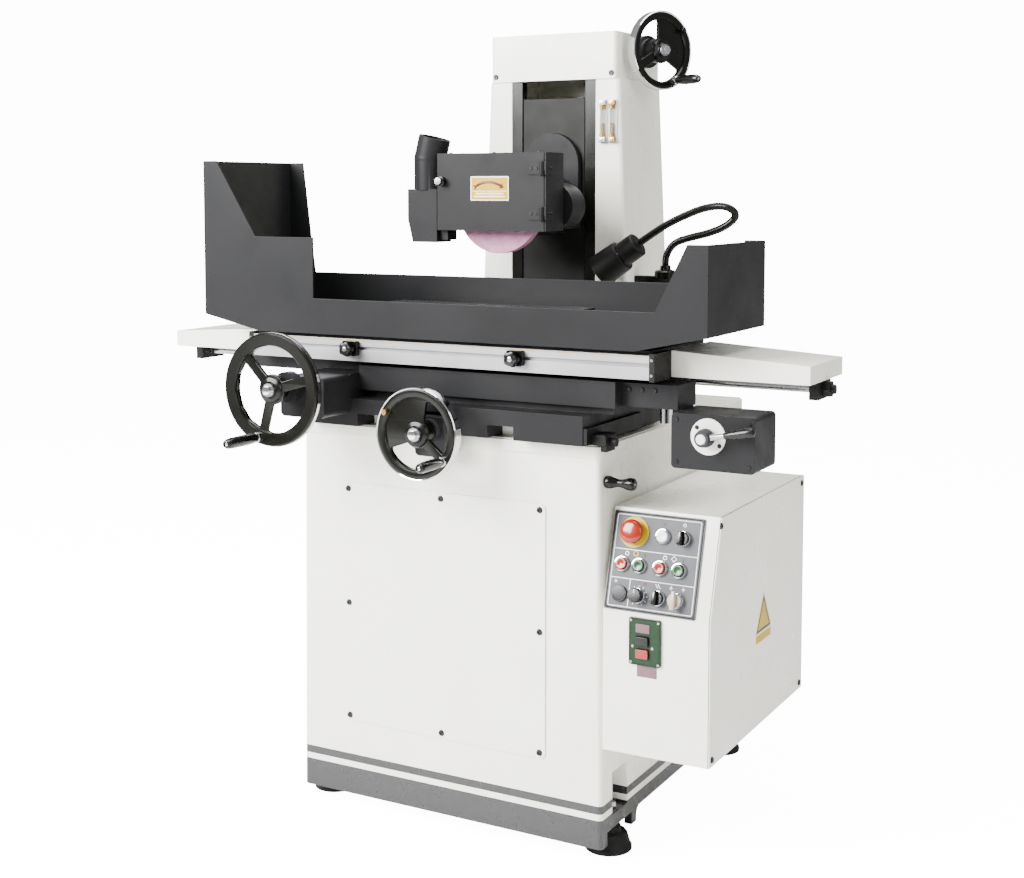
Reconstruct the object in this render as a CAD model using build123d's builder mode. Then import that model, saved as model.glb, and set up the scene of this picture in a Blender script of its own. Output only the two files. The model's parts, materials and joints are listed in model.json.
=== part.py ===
from build123d import *
import os
from math import cos, pi, radians, sin, tan

os.makedirs("parts", exist_ok=True)

# A hydraulic surface grinder. Millimetres. X runs along the table, Y from the operator to the
# column, Z up from the floor. Depths are measured back from the front face of the base.
front = -232.5

# Base
base_half_bottom = 349.0
base_half_top = 340.0
base_depth = 762.5
base_bottom = 28.0
base_top = 807.0
wall = 16.0
rim_bottom = 783.0
rim_height = 21.0
rim_reach = 5.0
foot_x = 325.0
foot_depths = (82.0, 680.0)
cross_way_x = 150.0
cross_way_half = 28.0
cross_way_top = 835.0

# Column
column_front = 469.0
column_back = 692.5
column_half_foot = 193.0
column_half_head = 161.0
column_top = 1525.0
cap_top = 1627.0
window_half = 104.0
strip_inner = 78.0
screw_depth = 655.0
elevation_height = 1589.0
elevation_turn = 66.6

# Electrical cabinet
cabinet_left = 349.5
cabinet_right = 565.0
cabinet_depth = 533.0
cabinet_bottom = 228.0
cabinet_top = 684.0
console_foot = 498.0
console_lean = 16.3
sheet = 3.0

# Saddle
slab_bottom = 810.0
slab_top = 866.0
saddle_top = 930.0
vee_depth = 80.0
vee_rise = 20.0
vee_half = 28.0
rack_depth = (30.0, 45.0)
cylinder_depth = 149.0
cylinder_height = 922.0
cross_x = 4.0
cross_height = 818.0
long_x = -274.0
long_height = 896.0

# Table, tray and chuck
table_half = 450.0
table_bottom = 940.0
table_top = 992.0
bar_half = 451.0
bar_bottom = 939.0
bar_top = 984.0
slot_height = 966.0
tray_half = 569.0
tray_flat_half = 427.0
tray_front = -38.0
tray_back = 259.0
tray_sheet = 4.0
tray_lift = 1022.0
lip_top = 1064.0
rear_top = 1099.0
chuck_half = 230.0
chuck_depths = (61.0, 211.0)
chuck_top = 1048.0
wing_inner = 462.0
wing_outer = 728.0
rod_end = 745.0

# Wheelhead
spindle_height = 1252.0
beam_half = 67.0
beam_bottom = 1200.0
beam_arch = 1342.0
wheel_radius = 100.0
wheel_depths = (221.0, 241.0)
guard_left = -124.0
guard_right = 133.0
guard_bottom = 1200.0
guard_top = 1360.0
guard_depths = (184.0, 258.0)
hinge_x = 126.0

run_gap = 0.05
body_gap = 0.4


def at(x, depth, z):
    """A point from its X, its depth behind the base front and its height."""
    return (x, front + depth, z)


def level(z):
    """A horizontal plane whose local axes are X and depth."""
    return Plane(at(0, 0, z))


def facing_front(x, depth, z):
    """An upright plane that looks towards the operator; its local axes are X and Z."""
    return Plane(at(x, depth, z), x_dir=(1, 0, 0), z_dir=(0, -1, 0))


def facing_right(x, depth=0.0, z=0.0):
    """An upright plane that looks along +X; its local axes are depth and Z."""
    return Plane(at(x, depth, z), x_dir=(0, 1, 0), z_dir=(1, 0, 0))


def block(xs, depths, zs, mode=Mode.ADD):
    """A box between two X values, two depths and two heights."""
    centre = at((xs[0] + xs[1]) / 2, (depths[0] + depths[1]) / 2, (zs[0] + zs[1]) / 2)
    with Locations(centre):
        Box(abs(xs[1] - xs[0]), depths[1] - depths[0], zs[1] - zs[0], mode=mode)


def bar(plane, radius, length, mode=Mode.ADD):
    """A round bar that starts on a plane and runs along its normal."""
    with Locations(plane):
        Cylinder(radius, length, align=(Align.CENTER, Align.CENTER, Align.MIN), mode=mode)


def taper(plane, start_radius, end_radius, length, mode=Mode.ADD):
    """A cone frustum that starts on a plane and runs along its normal."""
    with Locations(plane):
        Cone(start_radius, end_radius, length,
             align=(Align.CENTER, Align.CENTER, Align.MIN), mode=mode)


def plate(plane, width, height, thickness, corner, mode=Mode.ADD):
    """A rounded rectangle on a plane, given a thickness along the plane's normal."""
    with BuildSketch(plane) as outline:
        RectangleRounded(width, height, corner)
    extrude(outline.sketch, amount=thickness, mode=mode)


def prism(plane, points, thickness, mode=Mode.ADD):
    """A polygon drawn on a plane, given a thickness along the plane's normal."""
    with BuildSketch(plane) as outline:
        with BuildLine():
            Polyline(*points, close=True)
        make_face()
    extrude(outline.sketch, amount=thickness, mode=mode)


def tapered_box(half_widths, depths, heights, corner, mode=Mode.ADD):
    """An upright box whose half width changes from its lower to its upper height."""
    middle = (depths[0] + depths[1]) / 2
    ends = []
    for half, z in zip(half_widths, heights):
        with BuildSketch(level(z)) as outline:
            with Locations((0, middle)):
                RectangleRounded(2 * half, depths[1] - depths[0], corner)
        ends.append(outline.sketch)
    loft(ends, mode=mode)


def arch(plane, half, bottom, spring, length, mode=Mode.ADD):
    """A bar with a round top: straight sides up to a half circle."""
    with BuildSketch(plane) as outline:
        with Locations((0, (bottom + spring) / 2)):
            Rectangle(2 * half, spring - bottom)
        with Locations((0, spring)):
            Circle(half)
    extrude(outline.sketch, amount=length, mode=mode)


def save(piece, name):
    """Label a finished piece and write it as a STEP file of the same name."""
    piece.label = name
    export_step(piece, f"parts/{name}.step")


# --- Base and column -------------------------------------------------------------------

with BuildPart() as base_casting:
    tapered_box((base_half_bottom, base_half_top), (0, base_depth), (base_bottom, base_top), 10)
    tapered_box((base_half_bottom - wall, base_half_top - wall), (wall, base_depth - wall),
                (base_bottom, base_top - 2 * wall), 8, Mode.SUBTRACT)
    for side in (-1, 1):
        for depth in foot_depths:
            block((side * 280, side * 340), (depth - 50, depth + 50), (54, 185))
            block((side * 303, side * 370), (depth - 34, depth + 34), (80, 165), Mode.SUBTRACT)
            block((side * 270, side * 370), (depth - 56, depth + 56), (20, 54), Mode.SUBTRACT)
            bar(Plane(at(side * foot_x, depth, 50)), 8.5, 32, Mode.SUBTRACT)
    plate(facing_right(-400, base_depth / 2, 30), 440, 52, 800, 18, Mode.SUBTRACT)
    with BuildSketch(level(rim_bottom)) as rim:
        with Locations((0, (base_depth - rim_reach) / 2)):
            RectangleRounded(2 * (base_half_top + rim_reach), base_depth + rim_reach, 14)
        with Locations((0, base_depth / 2)):
            Rectangle(2 * (base_half_top - wall), base_depth - 2 * wall, mode=Mode.SUBTRACT)
    extrude(rim.sketch, amount=rim_height)
    block((cross_x - 35, cross_x + 35), (-rim_reach - 1, 0), (760, base_top), Mode.SUBTRACT)
    for side in (-1, 1):
        block((side * (cross_way_x - cross_way_half), side * (cross_way_x + cross_way_half)),
              (20, 450), (base_top, cross_way_top))
save(base_casting.part, "base_casting")

with BuildPart() as front_cover:
    plate(facing_front(-6, 0, 435), 468, 500, 3, 12)
save(front_cover.part, "front_cover")

cover_screw_places = [(x, z) for x in (-228, 216) for z in (197, 435, 673)] + [(-6, 197), (-6, 673)]
cap_screw_places = [(x, 1537) for x in (-143, 143)]
side_screw_places = [(47, 670), (12, 242), (515, 670), (515, 242)]
with BuildPart() as cover_screws:
    for x, z in cover_screw_places:
        taper(facing_front(x, -3, z), 6.5, 5, 3)
    for x, z in cap_screw_places:
        taper(facing_front(x, 465, z), 6.5, 5, 3)
    for depth, z in side_screw_places:
        taper(facing_right(cabinet_right, depth, z), 6.5, 5, 3)
save(cover_screws.part, "cover_screws")

with BuildPart() as levelling_feet:
    for x in (-foot_x, foot_x):
        for depth in foot_depths:
            taper(Plane(at(x, depth, 0)), 46, 36, 34)
            bar(Plane(at(x, depth, 34)), 24, 14)
            bar(Plane(at(x, depth, 48)), 8, 92)
            with BuildSketch(Plane(at(x, depth, 80.2))) as nut:
                RegularPolygon(15, 6)
            extrude(nut.sketch, amount=13)
save(levelling_feet.part, "levelling_feet")

with BuildPart() as column_casting:
    tapered_box((column_half_foot, column_half_head), (column_front, column_back),
                (base_top, column_top), 10)
    block((-208, 208), (455, 706), (base_top, base_top + 26))
    tapered_box((column_half_foot - 18, column_half_head - 18),
                (column_front + 18, column_back - 18), (base_top, column_top), 6, Mode.SUBTRACT)
    block((-window_half, window_half), (440, 488), (850, column_top + 1), Mode.SUBTRACT)
    for z in (855, 1492):
        block((-44, 44), (636, 676), (z, z + 30))
        bar(Plane(at(0, screw_depth, z - 1)), 12 + run_gap, 32, Mode.SUBTRACT)
save(column_casting.part, "column_casting")

elevation_axis = Plane(at(0, screw_depth, elevation_height),
                       x_dir=(cos(radians(elevation_turn)), sin(radians(elevation_turn)), 0),
                       z_dir=(sin(radians(elevation_turn)), -cos(radians(elevation_turn)), 0))

with BuildPart() as column_cap:
    plate(Plane(at(0, 581, column_top)), 310, 232, cap_top - column_top, 8)
    plate(Plane(at(0, 581, column_top)), 286, 208, cap_top - column_top - 12, 6, Mode.SUBTRACT)
    block((-strip_inner, strip_inner), (470, 485), (column_top, 1602), Mode.SUBTRACT)
    bar(elevation_axis.offset(100), 28.5, 120, Mode.SUBTRACT)
save(column_cap.part, "column_cap")

with BuildPart() as column_ways:
    for side in (-1, 1):
        block((side * strip_inner, side * (window_half - 0.5)), (470, 476), (850, column_top - 1))
        block((side * (strip_inner + 4), side * (window_half - 0.5)), (476, 500),
              (850, column_top - 1))
save(column_ways.part, "column_ways")

with BuildPart() as oil_gauges:
    for x in (124, 147):
        plate(facing_front(x, column_front, 1433), 19, 96, 7, 4)
        plate(facing_front(x, column_front - 7, 1433), 9, 70, 3, 4)
save(oil_gauges.part, "oil_gauges")

with BuildPart() as elevation_bracket:
    bar(elevation_axis.offset(120), 28, 86)
    bar(elevation_axis.offset(186), 36, 12)
    bar(elevation_axis.offset(119), 10 + run_gap, 90, Mode.SUBTRACT)
save(elevation_bracket.part, "elevation_bracket")

with BuildPart() as crossfeed_bearing:
    plate(facing_front(cross_x, 0, 806), 68, 78, 60, 10)
    bar(facing_front(cross_x, -60, cross_height), 24, 12)
    bar(facing_front(cross_x, 1, cross_height), 10 + run_gap, 80, Mode.SUBTRACT)
save(crossfeed_bearing.part, "crossfeed_bearing")

# --- Electrical cabinet and console ----------------------------------------------------

console_rise = (cabinet_top - console_foot) * tan(radians(console_lean))
console = Plane(at(0, 0, console_foot), x_dir=(1, 0, 0),
                z_dir=(0, -cos(radians(console_lean)), sin(radians(console_lean))))
cabinet_profile = [(0, cabinet_bottom), (cabinet_depth, cabinet_bottom),
                   (cabinet_depth, cabinet_top), (console_rise, cabinet_top), (0, console_foot)]
cabinet_inside = [(sheet, cabinet_bottom + sheet), (cabinet_depth - sheet, cabinet_bottom + sheet),
                  (cabinet_depth - sheet, cabinet_top - sheet), (console_rise + 2, cabinet_top - sheet),
                  (sheet, console_foot)]

# Pushbutton and selector places on the console: X, and distance up its sloping face
stop_place = (396, 149)
lamp_button_place = (455, 147)
button_places = {"hydraulic_stop": (379, 88), "hydraulic_start": (414, 88),
                 "spindle_stop": (456, 88), "spindle_start": (494, 88)}
turn_places = {"mode_selector": (495, 147), "speed_knob": (418, 33), "time_knob": (458, 33),
               "beige_selector": (495, 33)}
plug_place = (380, 33)
stem_radius = 4.0
cap_radius = 11.0
ring_radius = 14.5
panel_thick = 2.5
ring_height = 5.0


def console_point(place, height=0.0):
    """A plane on the sloping console face at a control's place."""
    return Plane(console.from_local_coords((place[0], place[1], height)),
                 x_dir=console.x_dir, z_dir=console.z_dir)


all_stems = [stop_place, lamp_button_place] + list(button_places.values()) + list(turn_places.values())

with BuildPart() as cabinet:
    prism(facing_right(cabinet_left), cabinet_profile, cabinet_right - sheet - cabinet_left)
    prism(facing_right(cabinet_left + sheet), cabinet_inside, cabinet_right, Mode.SUBTRACT)
    for place in all_stems:
        bar(console_point(place, -12), stem_radius + body_gap, 30, Mode.SUBTRACT)
    for z in (425.5, 449.5):
        block((427, 439), (-1, 6), (z - 4, z + 4), Mode.SUBTRACT)
save(cabinet.part, "cabinet")

with BuildPart() as cabinet_cover:
    prism(facing_right(cabinet_right - sheet), cabinet_profile, sheet)
save(cabinet_cover.part, "cabinet_cover")

with BuildPart() as control_panel:
    plate(console_point((443, 95)), 184, 185, panel_thick, 4)
    for place in [lamp_button_place] + list(button_places.values()) + list(turn_places.values()):
        bar(console_point(place, panel_thick), ring_radius, ring_height)
        bar(console_point(place, panel_thick), cap_radius + body_gap, ring_height + 1, Mode.SUBTRACT)
    bar(console_point(stop_place, panel_thick), 27, 2)
    bar(console_point(plug_place, panel_thick), 15, 6)
    for place in all_stems:
        bar(console_point(place, -1), stem_radius + body_gap, 10, Mode.SUBTRACT)
    plate(facing_front(437, 0, 447.5), 64, 89, 5, 4)
    for z in (425.5, 449.5):
        block((420, 446), (-6, 1), (z - 9, z + 9), Mode.SUBTRACT)
        block((420, 446), (-1.5, 0), (z - 9, z + 9))
        block((427, 439), (-6, 1), (z - 4, z + 4), Mode.SUBTRACT)
save(control_panel.part, "control_panel")

with BuildPart() as emergency_stop:
    bar(console_point(stop_place, -8), stem_radius, 20)
    bar(console_point(stop_place, 9), 14, 6)
    taper(console_point(stop_place, 15), 22, 23, 5)
    taper(console_point(stop_place, 20), 23, 15, 6)
save(emergency_stop.part, "emergency_stop")


def make_push_button(place, name):
    """A round push button: a cap in its ring and a stem through the panel."""
    with BuildPart() as button:
        bar(console_point(place, -8), stem_radius, 17)
        bar(console_point(place, 7), cap_radius, 4)
        taper(console_point(place, 11), cap_radius, cap_radius - 1.5, 1.5)
    save(button.part, name)


make_push_button(lamp_button_place, "lamp_button")
for name, place in button_places.items():
    make_push_button(place, name)


def make_turn_switch(place, name, lever_length):
    """A selector: a round boss with a raised finger bar across it."""
    with BuildPart() as switch:
        bar(console_point(place, -8), stem_radius, 12)
        bar(console_point(place, 3.2), cap_radius, 8)
        bar(console_point(place, 11), 13.5, 5)
        plate(console_point(place, 16), 8, lever_length, 9, 3)
    save(switch.part, name)


for name, place in turn_places.items():
    make_turn_switch(place, name, 34 if name == "beige_selector" else 25)


def make_starter_button(z, name):
    """A square starter button in its well on the front of the cabinet."""
    with BuildPart() as button:
        block((427.5, 438.5), (-6, 8), (z - 3.5, z + 3.5))
        plate(facing_front(433, -6, z), 24.6, 16.6, 5, 2)
    save(button.part, name)


make_starter_button(449.5, "on_button")
make_starter_button(425.5, "off_button")

with BuildPart() as side_handle:
    for start, length, near, far in ((341.5, 10, 12.3, 12.3), (351.5, 18, 12.3, 7.6),
                                     (369.5, 6, 7.6, 7.6), (375.5, 16, 7.6, 12.3),
                                     (391.5, 12, 12.3, 12.3)):
        if near == far:
            bar(facing_right(start, 25, 735), near, length)
        else:
            taper(facing_right(start, 25, 735), near, far, length)
save(side_handle.part, "side_handle")

# --- Work lamp -------------------------------------------------------------------------

lamp_route = [(250, 520, 1100), (250, 520, 1142), (272, 512, 1170), (314, 500, 1182),
              (362, 486, 1192), (408, 472, 1208), (440, 456, 1232), (420, 440, 1252),
              (376, 430, 1248), (332, 424, 1230), (290, 422, 1210), (230.8, 425, 1172.3)]
lamp_axis = Plane(at(227.5, 425, 1170), x_dir=(0, 1, 0), z_dir=(-60, 0, -41.3))

with BuildPart() as lamp_stalk:
    with BuildLine() as route:
        FilletPolyline(*[at(*p) for p in lamp_route], radius=18)
    with BuildSketch(Plane(at(*lamp_route[0]))):
        Circle(8)
    sweep(path=route.wires()[0])
    bar(Plane(at(250, 520, 1094)), 24, 18)
    block((172, 262), (508, 532), (1082, 1096))
    block((170, 190), (490, 550), (1060, 1118))
    tapered_box((column_half_foot, column_half_head), (column_front, column_back),
                (base_top, column_top), 10, Mode.SUBTRACT)
save(lamp_stalk.part, "lamp_stalk")

with BuildPart() as lamp_head:
    taper(lamp_axis, 14, 27, 6)
    bar(lamp_axis.offset(6), 27, 36)
    taper(lamp_axis.offset(42), 27, 34, 4)
    taper(lamp_axis.offset(46), 34, 36.5, 61)
    bar(lamp_axis.offset(104), 33, 4, Mode.SUBTRACT)
save(lamp_head.part, "lamp_head")

# --- Saddle ----------------------------------------------------------------------------

with BuildPart() as saddle_casting:
    block((-311, 325), (-40, 330), (slab_bottom, slab_top))
    block((-188, 366), (8, 290), (slab_top, 880))
    block((-196, 376), (-8, 300), (880, saddle_top))
    block((376, 489), (20, 108), (882, 927))
    bar(Plane(at(432, 94, 844)), 9, 39)
    for side in (-1, 1):
        block((side * (cross_way_x - cross_way_half - body_gap),
               side * (cross_way_x + cross_way_half + body_gap)),
              (-60, 340), (slab_bottom - 1, cross_way_top + body_gap), Mode.SUBTRACT)
    block((cross_x - 42, cross_x + 42), (-60, 340), (slab_bottom - 1, 852), Mode.SUBTRACT)
    block((cross_x - 42, cross_x + 42), (180, 225), (slab_bottom, 852))
    bar(facing_front(cross_x, 226, cross_height), 10 + run_gap, 60, Mode.SUBTRACT)
    prism(facing_right(-196), [(vee_depth - vee_half, saddle_top), (vee_depth + vee_half, saddle_top),
                               (vee_depth, saddle_top + vee_rise)], 572)
    block((-196, 376), (190, 225), (saddle_top, table_bottom - body_gap))
    block((-197, 377), (rack_depth[0] - 4, rack_depth[1] + 4), (900, 932), Mode.SUBTRACT)
    bar(facing_right(-200, cylinder_depth, cylinder_height), 17, 600, Mode.SUBTRACT)
    block((-200, 400), (cylinder_depth - 17, cylinder_depth + 17), (cylinder_height, 932),
          Mode.SUBTRACT)
save(saddle_casting.part, "saddle_casting")

with BuildPart() as handwheel_gearbox:
    plate(facing_front(-248.5, -40, 875), 105, 80, 90, 10)
    block((-301, -196), (-40, 62), (slab_top, 915))
    bar(facing_front(long_x, -130, long_height), 30, 20)
    bar(facing_front(long_x, 63, long_height), 10 + run_gap, 230, Mode.SUBTRACT)
    block((-302, -195), (rack_depth[0] - 4, rack_depth[1] + 4), (900, 920), Mode.SUBTRACT)
    block((long_x - 15, long_x + 15), (rack_depth[0] - 4, rack_depth[1] + 4), (880, 920),
          Mode.SUBTRACT)
save(handwheel_gearbox.part, "handwheel_gearbox")

with BuildPart() as stop_rail:
    block((325, 333), (-38, 212), (812, 843))
    plate(facing_front(347, 30, 820), 28, 20, 46, 4)
    block((349, 361), (-12, 26), (798, 812))
    bar(facing_right(361, 6, 815), 8, 13)
save(stop_rail.part, "stop_rail")

lever_centre = (561, 843)
with BuildPart() as lever_box:
    plate(facing_front(569, 100, 831.5), 160, 101, 110, 8)
    block((470, 489.5), (40, 96), (840, 882))
    bar(facing_front(lever_centre[0], -10, lever_centre[1]), 33, 3)
    bar(facing_front(lever_centre[0], 30, lever_centre[1]), 7 + run_gap, 60, Mode.SUBTRACT)
save(lever_box.part, "lever_box")

with BuildPart() as table_lever:
    bar(facing_front(lever_centre[0], 20, lever_centre[1]), 7, 60)
    bar(facing_front(lever_centre[0], -20, lever_centre[1]), 13, 26)
    lever_line = Plane(at(lever_centre[0], -34, lever_centre[1]), x_dir=(0, 1, 0),
                       z_dir=(cos(radians(11)), 0, sin(radians(11))))
    bar(lever_line, 5, 50)
    bar(lever_line.offset(44), 9, 44)
    with Locations(lever_line.offset(88)):
        Sphere(9)
save(table_lever.part, "table_lever")

with BuildPart() as table_cylinder:
    bar(facing_right(-264, cylinder_depth, cylinder_height), 17, 528)
    bar(facing_right(-250, cylinder_depth, cylinder_height), 14, 500, Mode.SUBTRACT)
    bar(facing_right(-270, cylinder_depth, cylinder_height), 9 + run_gap, 540, Mode.SUBTRACT)
save(table_cylinder.part, "table_cylinder")

# --- Table -----------------------------------------------------------------------------

with BuildPart() as table_casting:
    block((-table_half, table_half), (-12, 245), (table_bottom, table_top))
    low = saddle_top - body_gap
    apex = saddle_top + vee_rise + body_gap
    spread = (apex - low) * vee_half / vee_rise
    prism(facing_right(-500), [(vee_depth - spread, low), (vee_depth + spread, low),
                               (vee_depth, apex)], 1000, Mode.SUBTRACT)
    block((-506, -36), rack_depth, (long_height + 12, table_bottom + 2))
    block((-506, -table_half), rack_depth, (936, table_bottom + 2), Mode.SUBTRACT)
save(table_casting.part, "table_casting")

with BuildPart() as front_bar:
    block((-bar_half, bar_half), (-24, -12), (bar_bottom, bar_top))
    block((-bar_half - 1, bar_half + 1), (-25, -18), (slot_height - 3.5, slot_height + 3.5),
          Mode.SUBTRACT)
    block((-bar_half - 1, bar_half + 1), (-20, -16), (slot_height - 6, slot_height + 6),
          Mode.SUBTRACT)
    for side in (-1, 1):
        block((side * bar_half, side * wing_inner), (-26, 50), (936, 988))
save(front_bar.part, "front_bar")


def make_dog(x, name):
    """A trip dog: a block on the front bar with its nut in the bar's slot."""
    with BuildPart() as dog:
        plate(facing_front(x, -24.4, slot_height), 34, 30, 12, 4)
        block((x - 12, x + 12), (-24.6, -19), (slot_height - 3, slot_height + 3))
        block((x - 10, x + 10), (-19.6, -16.5), (slot_height - 5.4, slot_height + 5.4))
        bar(facing_front(x, -30, slot_height), 5 + body_gap, 10, Mode.SUBTRACT)
    save(dog.part, name)


def make_star_knob(x, name):
    """A clamping knob with lobes round its edge and a stud behind it."""
    with BuildPart() as knob:
        bar(facing_front(x, -30.5, slot_height), 5, 10)
        bar(facing_front(x, -37, slot_height), 8, 4)
        bar(facing_front(x, -41, slot_height), 11, 13)
        with Locations(facing_front(x, -41, slot_height)):
            with PolarLocations(11, 5):
                Cylinder(5, 13, align=(Align.CENTER, Align.CENTER, Align.MIN))
    save(knob.part, name)


make_dog(-200, "dog_left")
make_dog(178, "dog_right")
make_star_knob(-200, "dog_knob_left")
make_star_knob(178, "dog_knob_right")

floor_line = [(-tray_half, tray_lift), (-tray_flat_half, table_top), (tray_flat_half, table_top),
              (tray_half, tray_lift)]
floor_top = [(x, z + tray_sheet) for x, z in reversed(floor_line)]
front_outline = floor_line + [(tray_half, 1187), (528, 1187), (467, lip_top), (-287, lip_top),
                              (-287, 1188), (-434, 1188), (-534, 1345), (-tray_half, 1345)]
rear_outline = floor_line + [(tray_half, 1187), (528, 1187), (500, rear_top), (-496, rear_top),
                             (-506, 1169), (-528, 1345), (-tray_half, 1345)]
with BuildPart() as splash_tray:
    tray_depth = tray_back - tray_front
    prism(facing_front(0, tray_back, 0), floor_line + floor_top, tray_depth)
    prism(facing_front(0, tray_front + tray_sheet, 0), front_outline, tray_sheet)
    prism(facing_front(0, tray_back, 0), rear_outline, tray_sheet)
    block((-tray_half, -tray_half + tray_sheet), (tray_front, tray_back), (tray_lift, 1345))
    block((tray_half - tray_sheet, tray_half), (tray_front, tray_back), (tray_lift, 1187))
save(splash_tray.part, "splash_tray")

with BuildPart() as magnetic_chuck:
    block((-chuck_half, chuck_half), chuck_depths, (table_top + tray_sheet, chuck_top - 18))
    block((-chuck_half + 1, chuck_half - 1), (62, 210), (chuck_top - 18, chuck_top))
    block((-chuck_half - 10, chuck_half + 10), (70, 202), (table_top + tray_sheet, 1012))
save(magnetic_chuck.part, "magnetic_chuck")

with BuildPart() as way_covers:
    for side in (-1, 1):
        prism(facing_front(0, 246, 0), [(side * wing_inner, 938), (side * wing_inner, 988),
                                        (side * wing_outer, 972), (side * wing_outer, 938)], 194)
        prism(facing_front(0, 242, 0), [(side * (wing_inner - 1), 930), (side * (wing_inner - 1), 984),
                                        (side * (wing_outer - 4), 968), (side * (wing_outer - 4), 930)],
              186, Mode.SUBTRACT)
save(way_covers.part, "way_covers")

with BuildPart() as piston_rod:
    bar(facing_right(-rod_end, cylinder_depth, cylinder_height), 9, 2 * rod_end)
    bar(facing_right(-15, cylinder_depth, cylinder_height), 14 - run_gap, 30)
    for side in (-1, 1):
        block((side * 706, side * 724), (112, 186), (904, 938))
        block((side * 690, side * 724), (112, 186), (932, 960))
        with BuildSketch(facing_right(min(side * 724, side * 738), cylinder_depth,
                                      cylinder_height)) as nut:
            RegularPolygon(16, 6)
        extrude(nut.sketch, amount=14)
save(piston_rod.part, "piston_rod")

# --- Wheelhead -------------------------------------------------------------------------

with BuildPart() as wheelhead_casting:
    arch(facing_front(0, 500, 0), beam_half, beam_bottom, beam_arch, 42)
    arch(facing_front(0, 460, 0), beam_half, beam_bottom, spindle_height, 460 - guard_depths[1])
    block((-strip_inner - 3.6, strip_inner + 3.6), (482, 501), (1150, 1460))
    block((-100, 100), (500.5, 518), (1150, 1460))
    block((-30, 30), (517, 671), (1160, 1190))
    block((60, 104), (262, 322), (1202, 1298))
    bar(facing_front(104, 322, 1250), 48, 60)
    bar(facing_front(0, 472, spindle_height), 30 + run_gap, 220, Mode.SUBTRACT)
    bar(Plane(at(0, screw_depth, 1150)), 12 + run_gap, 50, Mode.SUBTRACT)
save(wheelhead_casting.part, "wheelhead_casting")

with BuildPart() as head_plate:
    block((-strip_inner + 2, strip_inner - 2), (472, 481.5), (942, 1486))
    arch(facing_front(0, 500, 0), beam_half, beam_bottom, beam_arch, 60, Mode.SUBTRACT)
save(head_plate.part, "head_plate")

with BuildPart() as spindle_motor:
    bar(facing_front(0, 628, 1275), 60, 110)
    bar(facing_front(0, 640, 1275), 40, 12)
save(spindle_motor.part, "spindle_motor")

with BuildPart() as wheel_guard:
    block((guard_left, guard_right), guard_depths, (guard_bottom, guard_top))
    block((guard_left + 6, guard_right - 6), (guard_depths[0] - 1, 250),
          (guard_bottom - 1, guard_top - 6), Mode.SUBTRACT)
    block((hinge_x + 3.5, guard_right), (180, guard_depths[0]), (guard_bottom, guard_top))
    for z in (1236, 1328):
        block((guard_right, guard_right + 3), (174, 206), (z - 13, z + 13))
        bar(Plane(at(hinge_x, 174.5, z - 5)), 5.5, 18)
        block((hinge_x, guard_right + 3), (174, 180), (z - 5, z + 13))
        bar(Plane(at(hinge_x, 174.5, z - 14)), 2.5, 28)
    bar(facing_front(0, 259, spindle_height), 26, 12, Mode.SUBTRACT)
save(wheel_guard.part, "wheel_guard")

chute_top = Plane(at(-162, 214, 1350), x_dir=(1, 0, -0.26), z_dir=(0.26, 0, 1))
with BuildPart() as dust_chute:
    prism(facing_front(0, 243, 0), [(-200, 1222), (-188, 1174), (-128, 1174), (-128, 1286),
                                    (-200, 1286)], 59)
    block((-136, guard_left), (190, 240), (1215, 1280))
    block((-129, -108), (196, 232), (1179, 1199.5))
    bar(Plane(at(-162, 214, 1284)), 34, 66)
    bar(chute_top, 34, 46)
    prism(facing_front(0, 238, 0), [(-195, 1223), (-184, 1173), (-133, 1173), (-133, 1280),
                                    (-195, 1280)], 49, Mode.SUBTRACT)
    bar(Plane(at(-162, 214, 1278)), 26, 72, Mode.SUBTRACT)
    bar(chute_top.offset(-6), 26, 60, Mode.SUBTRACT)
save(dust_chute.part, "dust_chute")

with BuildPart() as guard_door:
    block((guard_left, hinge_x + 2), (180, 183.6), (guard_bottom, guard_top))
    for z in (1236, 1328):
        block((hinge_x - 34, hinge_x - 5), (177, 180), (z - 13, z + 13))
        bar(Plane(at(hinge_x, 174.5, z - 14)), 5.5, 8.6)
        block((hinge_x - 8, hinge_x), (174, 180), (z - 14, z - 5.4))
        bar(Plane(at(hinge_x, 174.5, z - 15)), 2.5 + run_gap, 30, Mode.SUBTRACT)
        bar(Plane(at(hinge_x, 174.5, z - 5.4)), 6.5, 20, Mode.SUBTRACT)
    bar(facing_front(-112, 185, 1302), 4 + body_gap, 10, Mode.SUBTRACT)
save(guard_door.part, "guard_door")

with BuildPart() as guard_knob:
    bar(facing_front(-112, 183.4, 1302), 4, 8)
    bar(facing_front(-112, 179.6, 1302), 10, 8)
    bar(facing_front(-112, 171.6, 1302), 8, 12)
save(guard_knob.part, "guard_knob")

with BuildPart() as spindle:
    bar(facing_front(0, 468, spindle_height), 30, 206)
    bar(facing_front(0, 262, spindle_height), 22, 14)
    bar(facing_front(0, 248, spindle_height), 42, 7)
    bar(facing_front(0, 241, spindle_height), 15.8, 34)
    bar(facing_front(0, 221, spindle_height), 42, 7)
    bar(facing_front(0, 214, spindle_height), 22, 10)
save(spindle.part, "spindle")

with BuildPart() as grinding_wheel:
    bar(facing_front(0, wheel_depths[1], spindle_height), wheel_radius, 20)
    bar(facing_front(0, wheel_depths[1], spindle_height), 15.8, 20, Mode.SUBTRACT)
save(grinding_wheel.part, "grinding_wheel")

with BuildPart() as elevation_screw:
    bar(Plane(at(0, screw_depth, 850)), 12, 700)
    bar(Plane(at(0, screw_depth, 1540)), 24, 12)
    taper(Plane(at(0, screw_depth, 1552)), 24, 15, 12)
save(elevation_screw.part, "elevation_screw")


# --- Handwheels ------------------------------------------------------------------------

spoke_width = 20.0
spoke_thick = 10.0
web_step = 6
web_thick = 7.0


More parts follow.
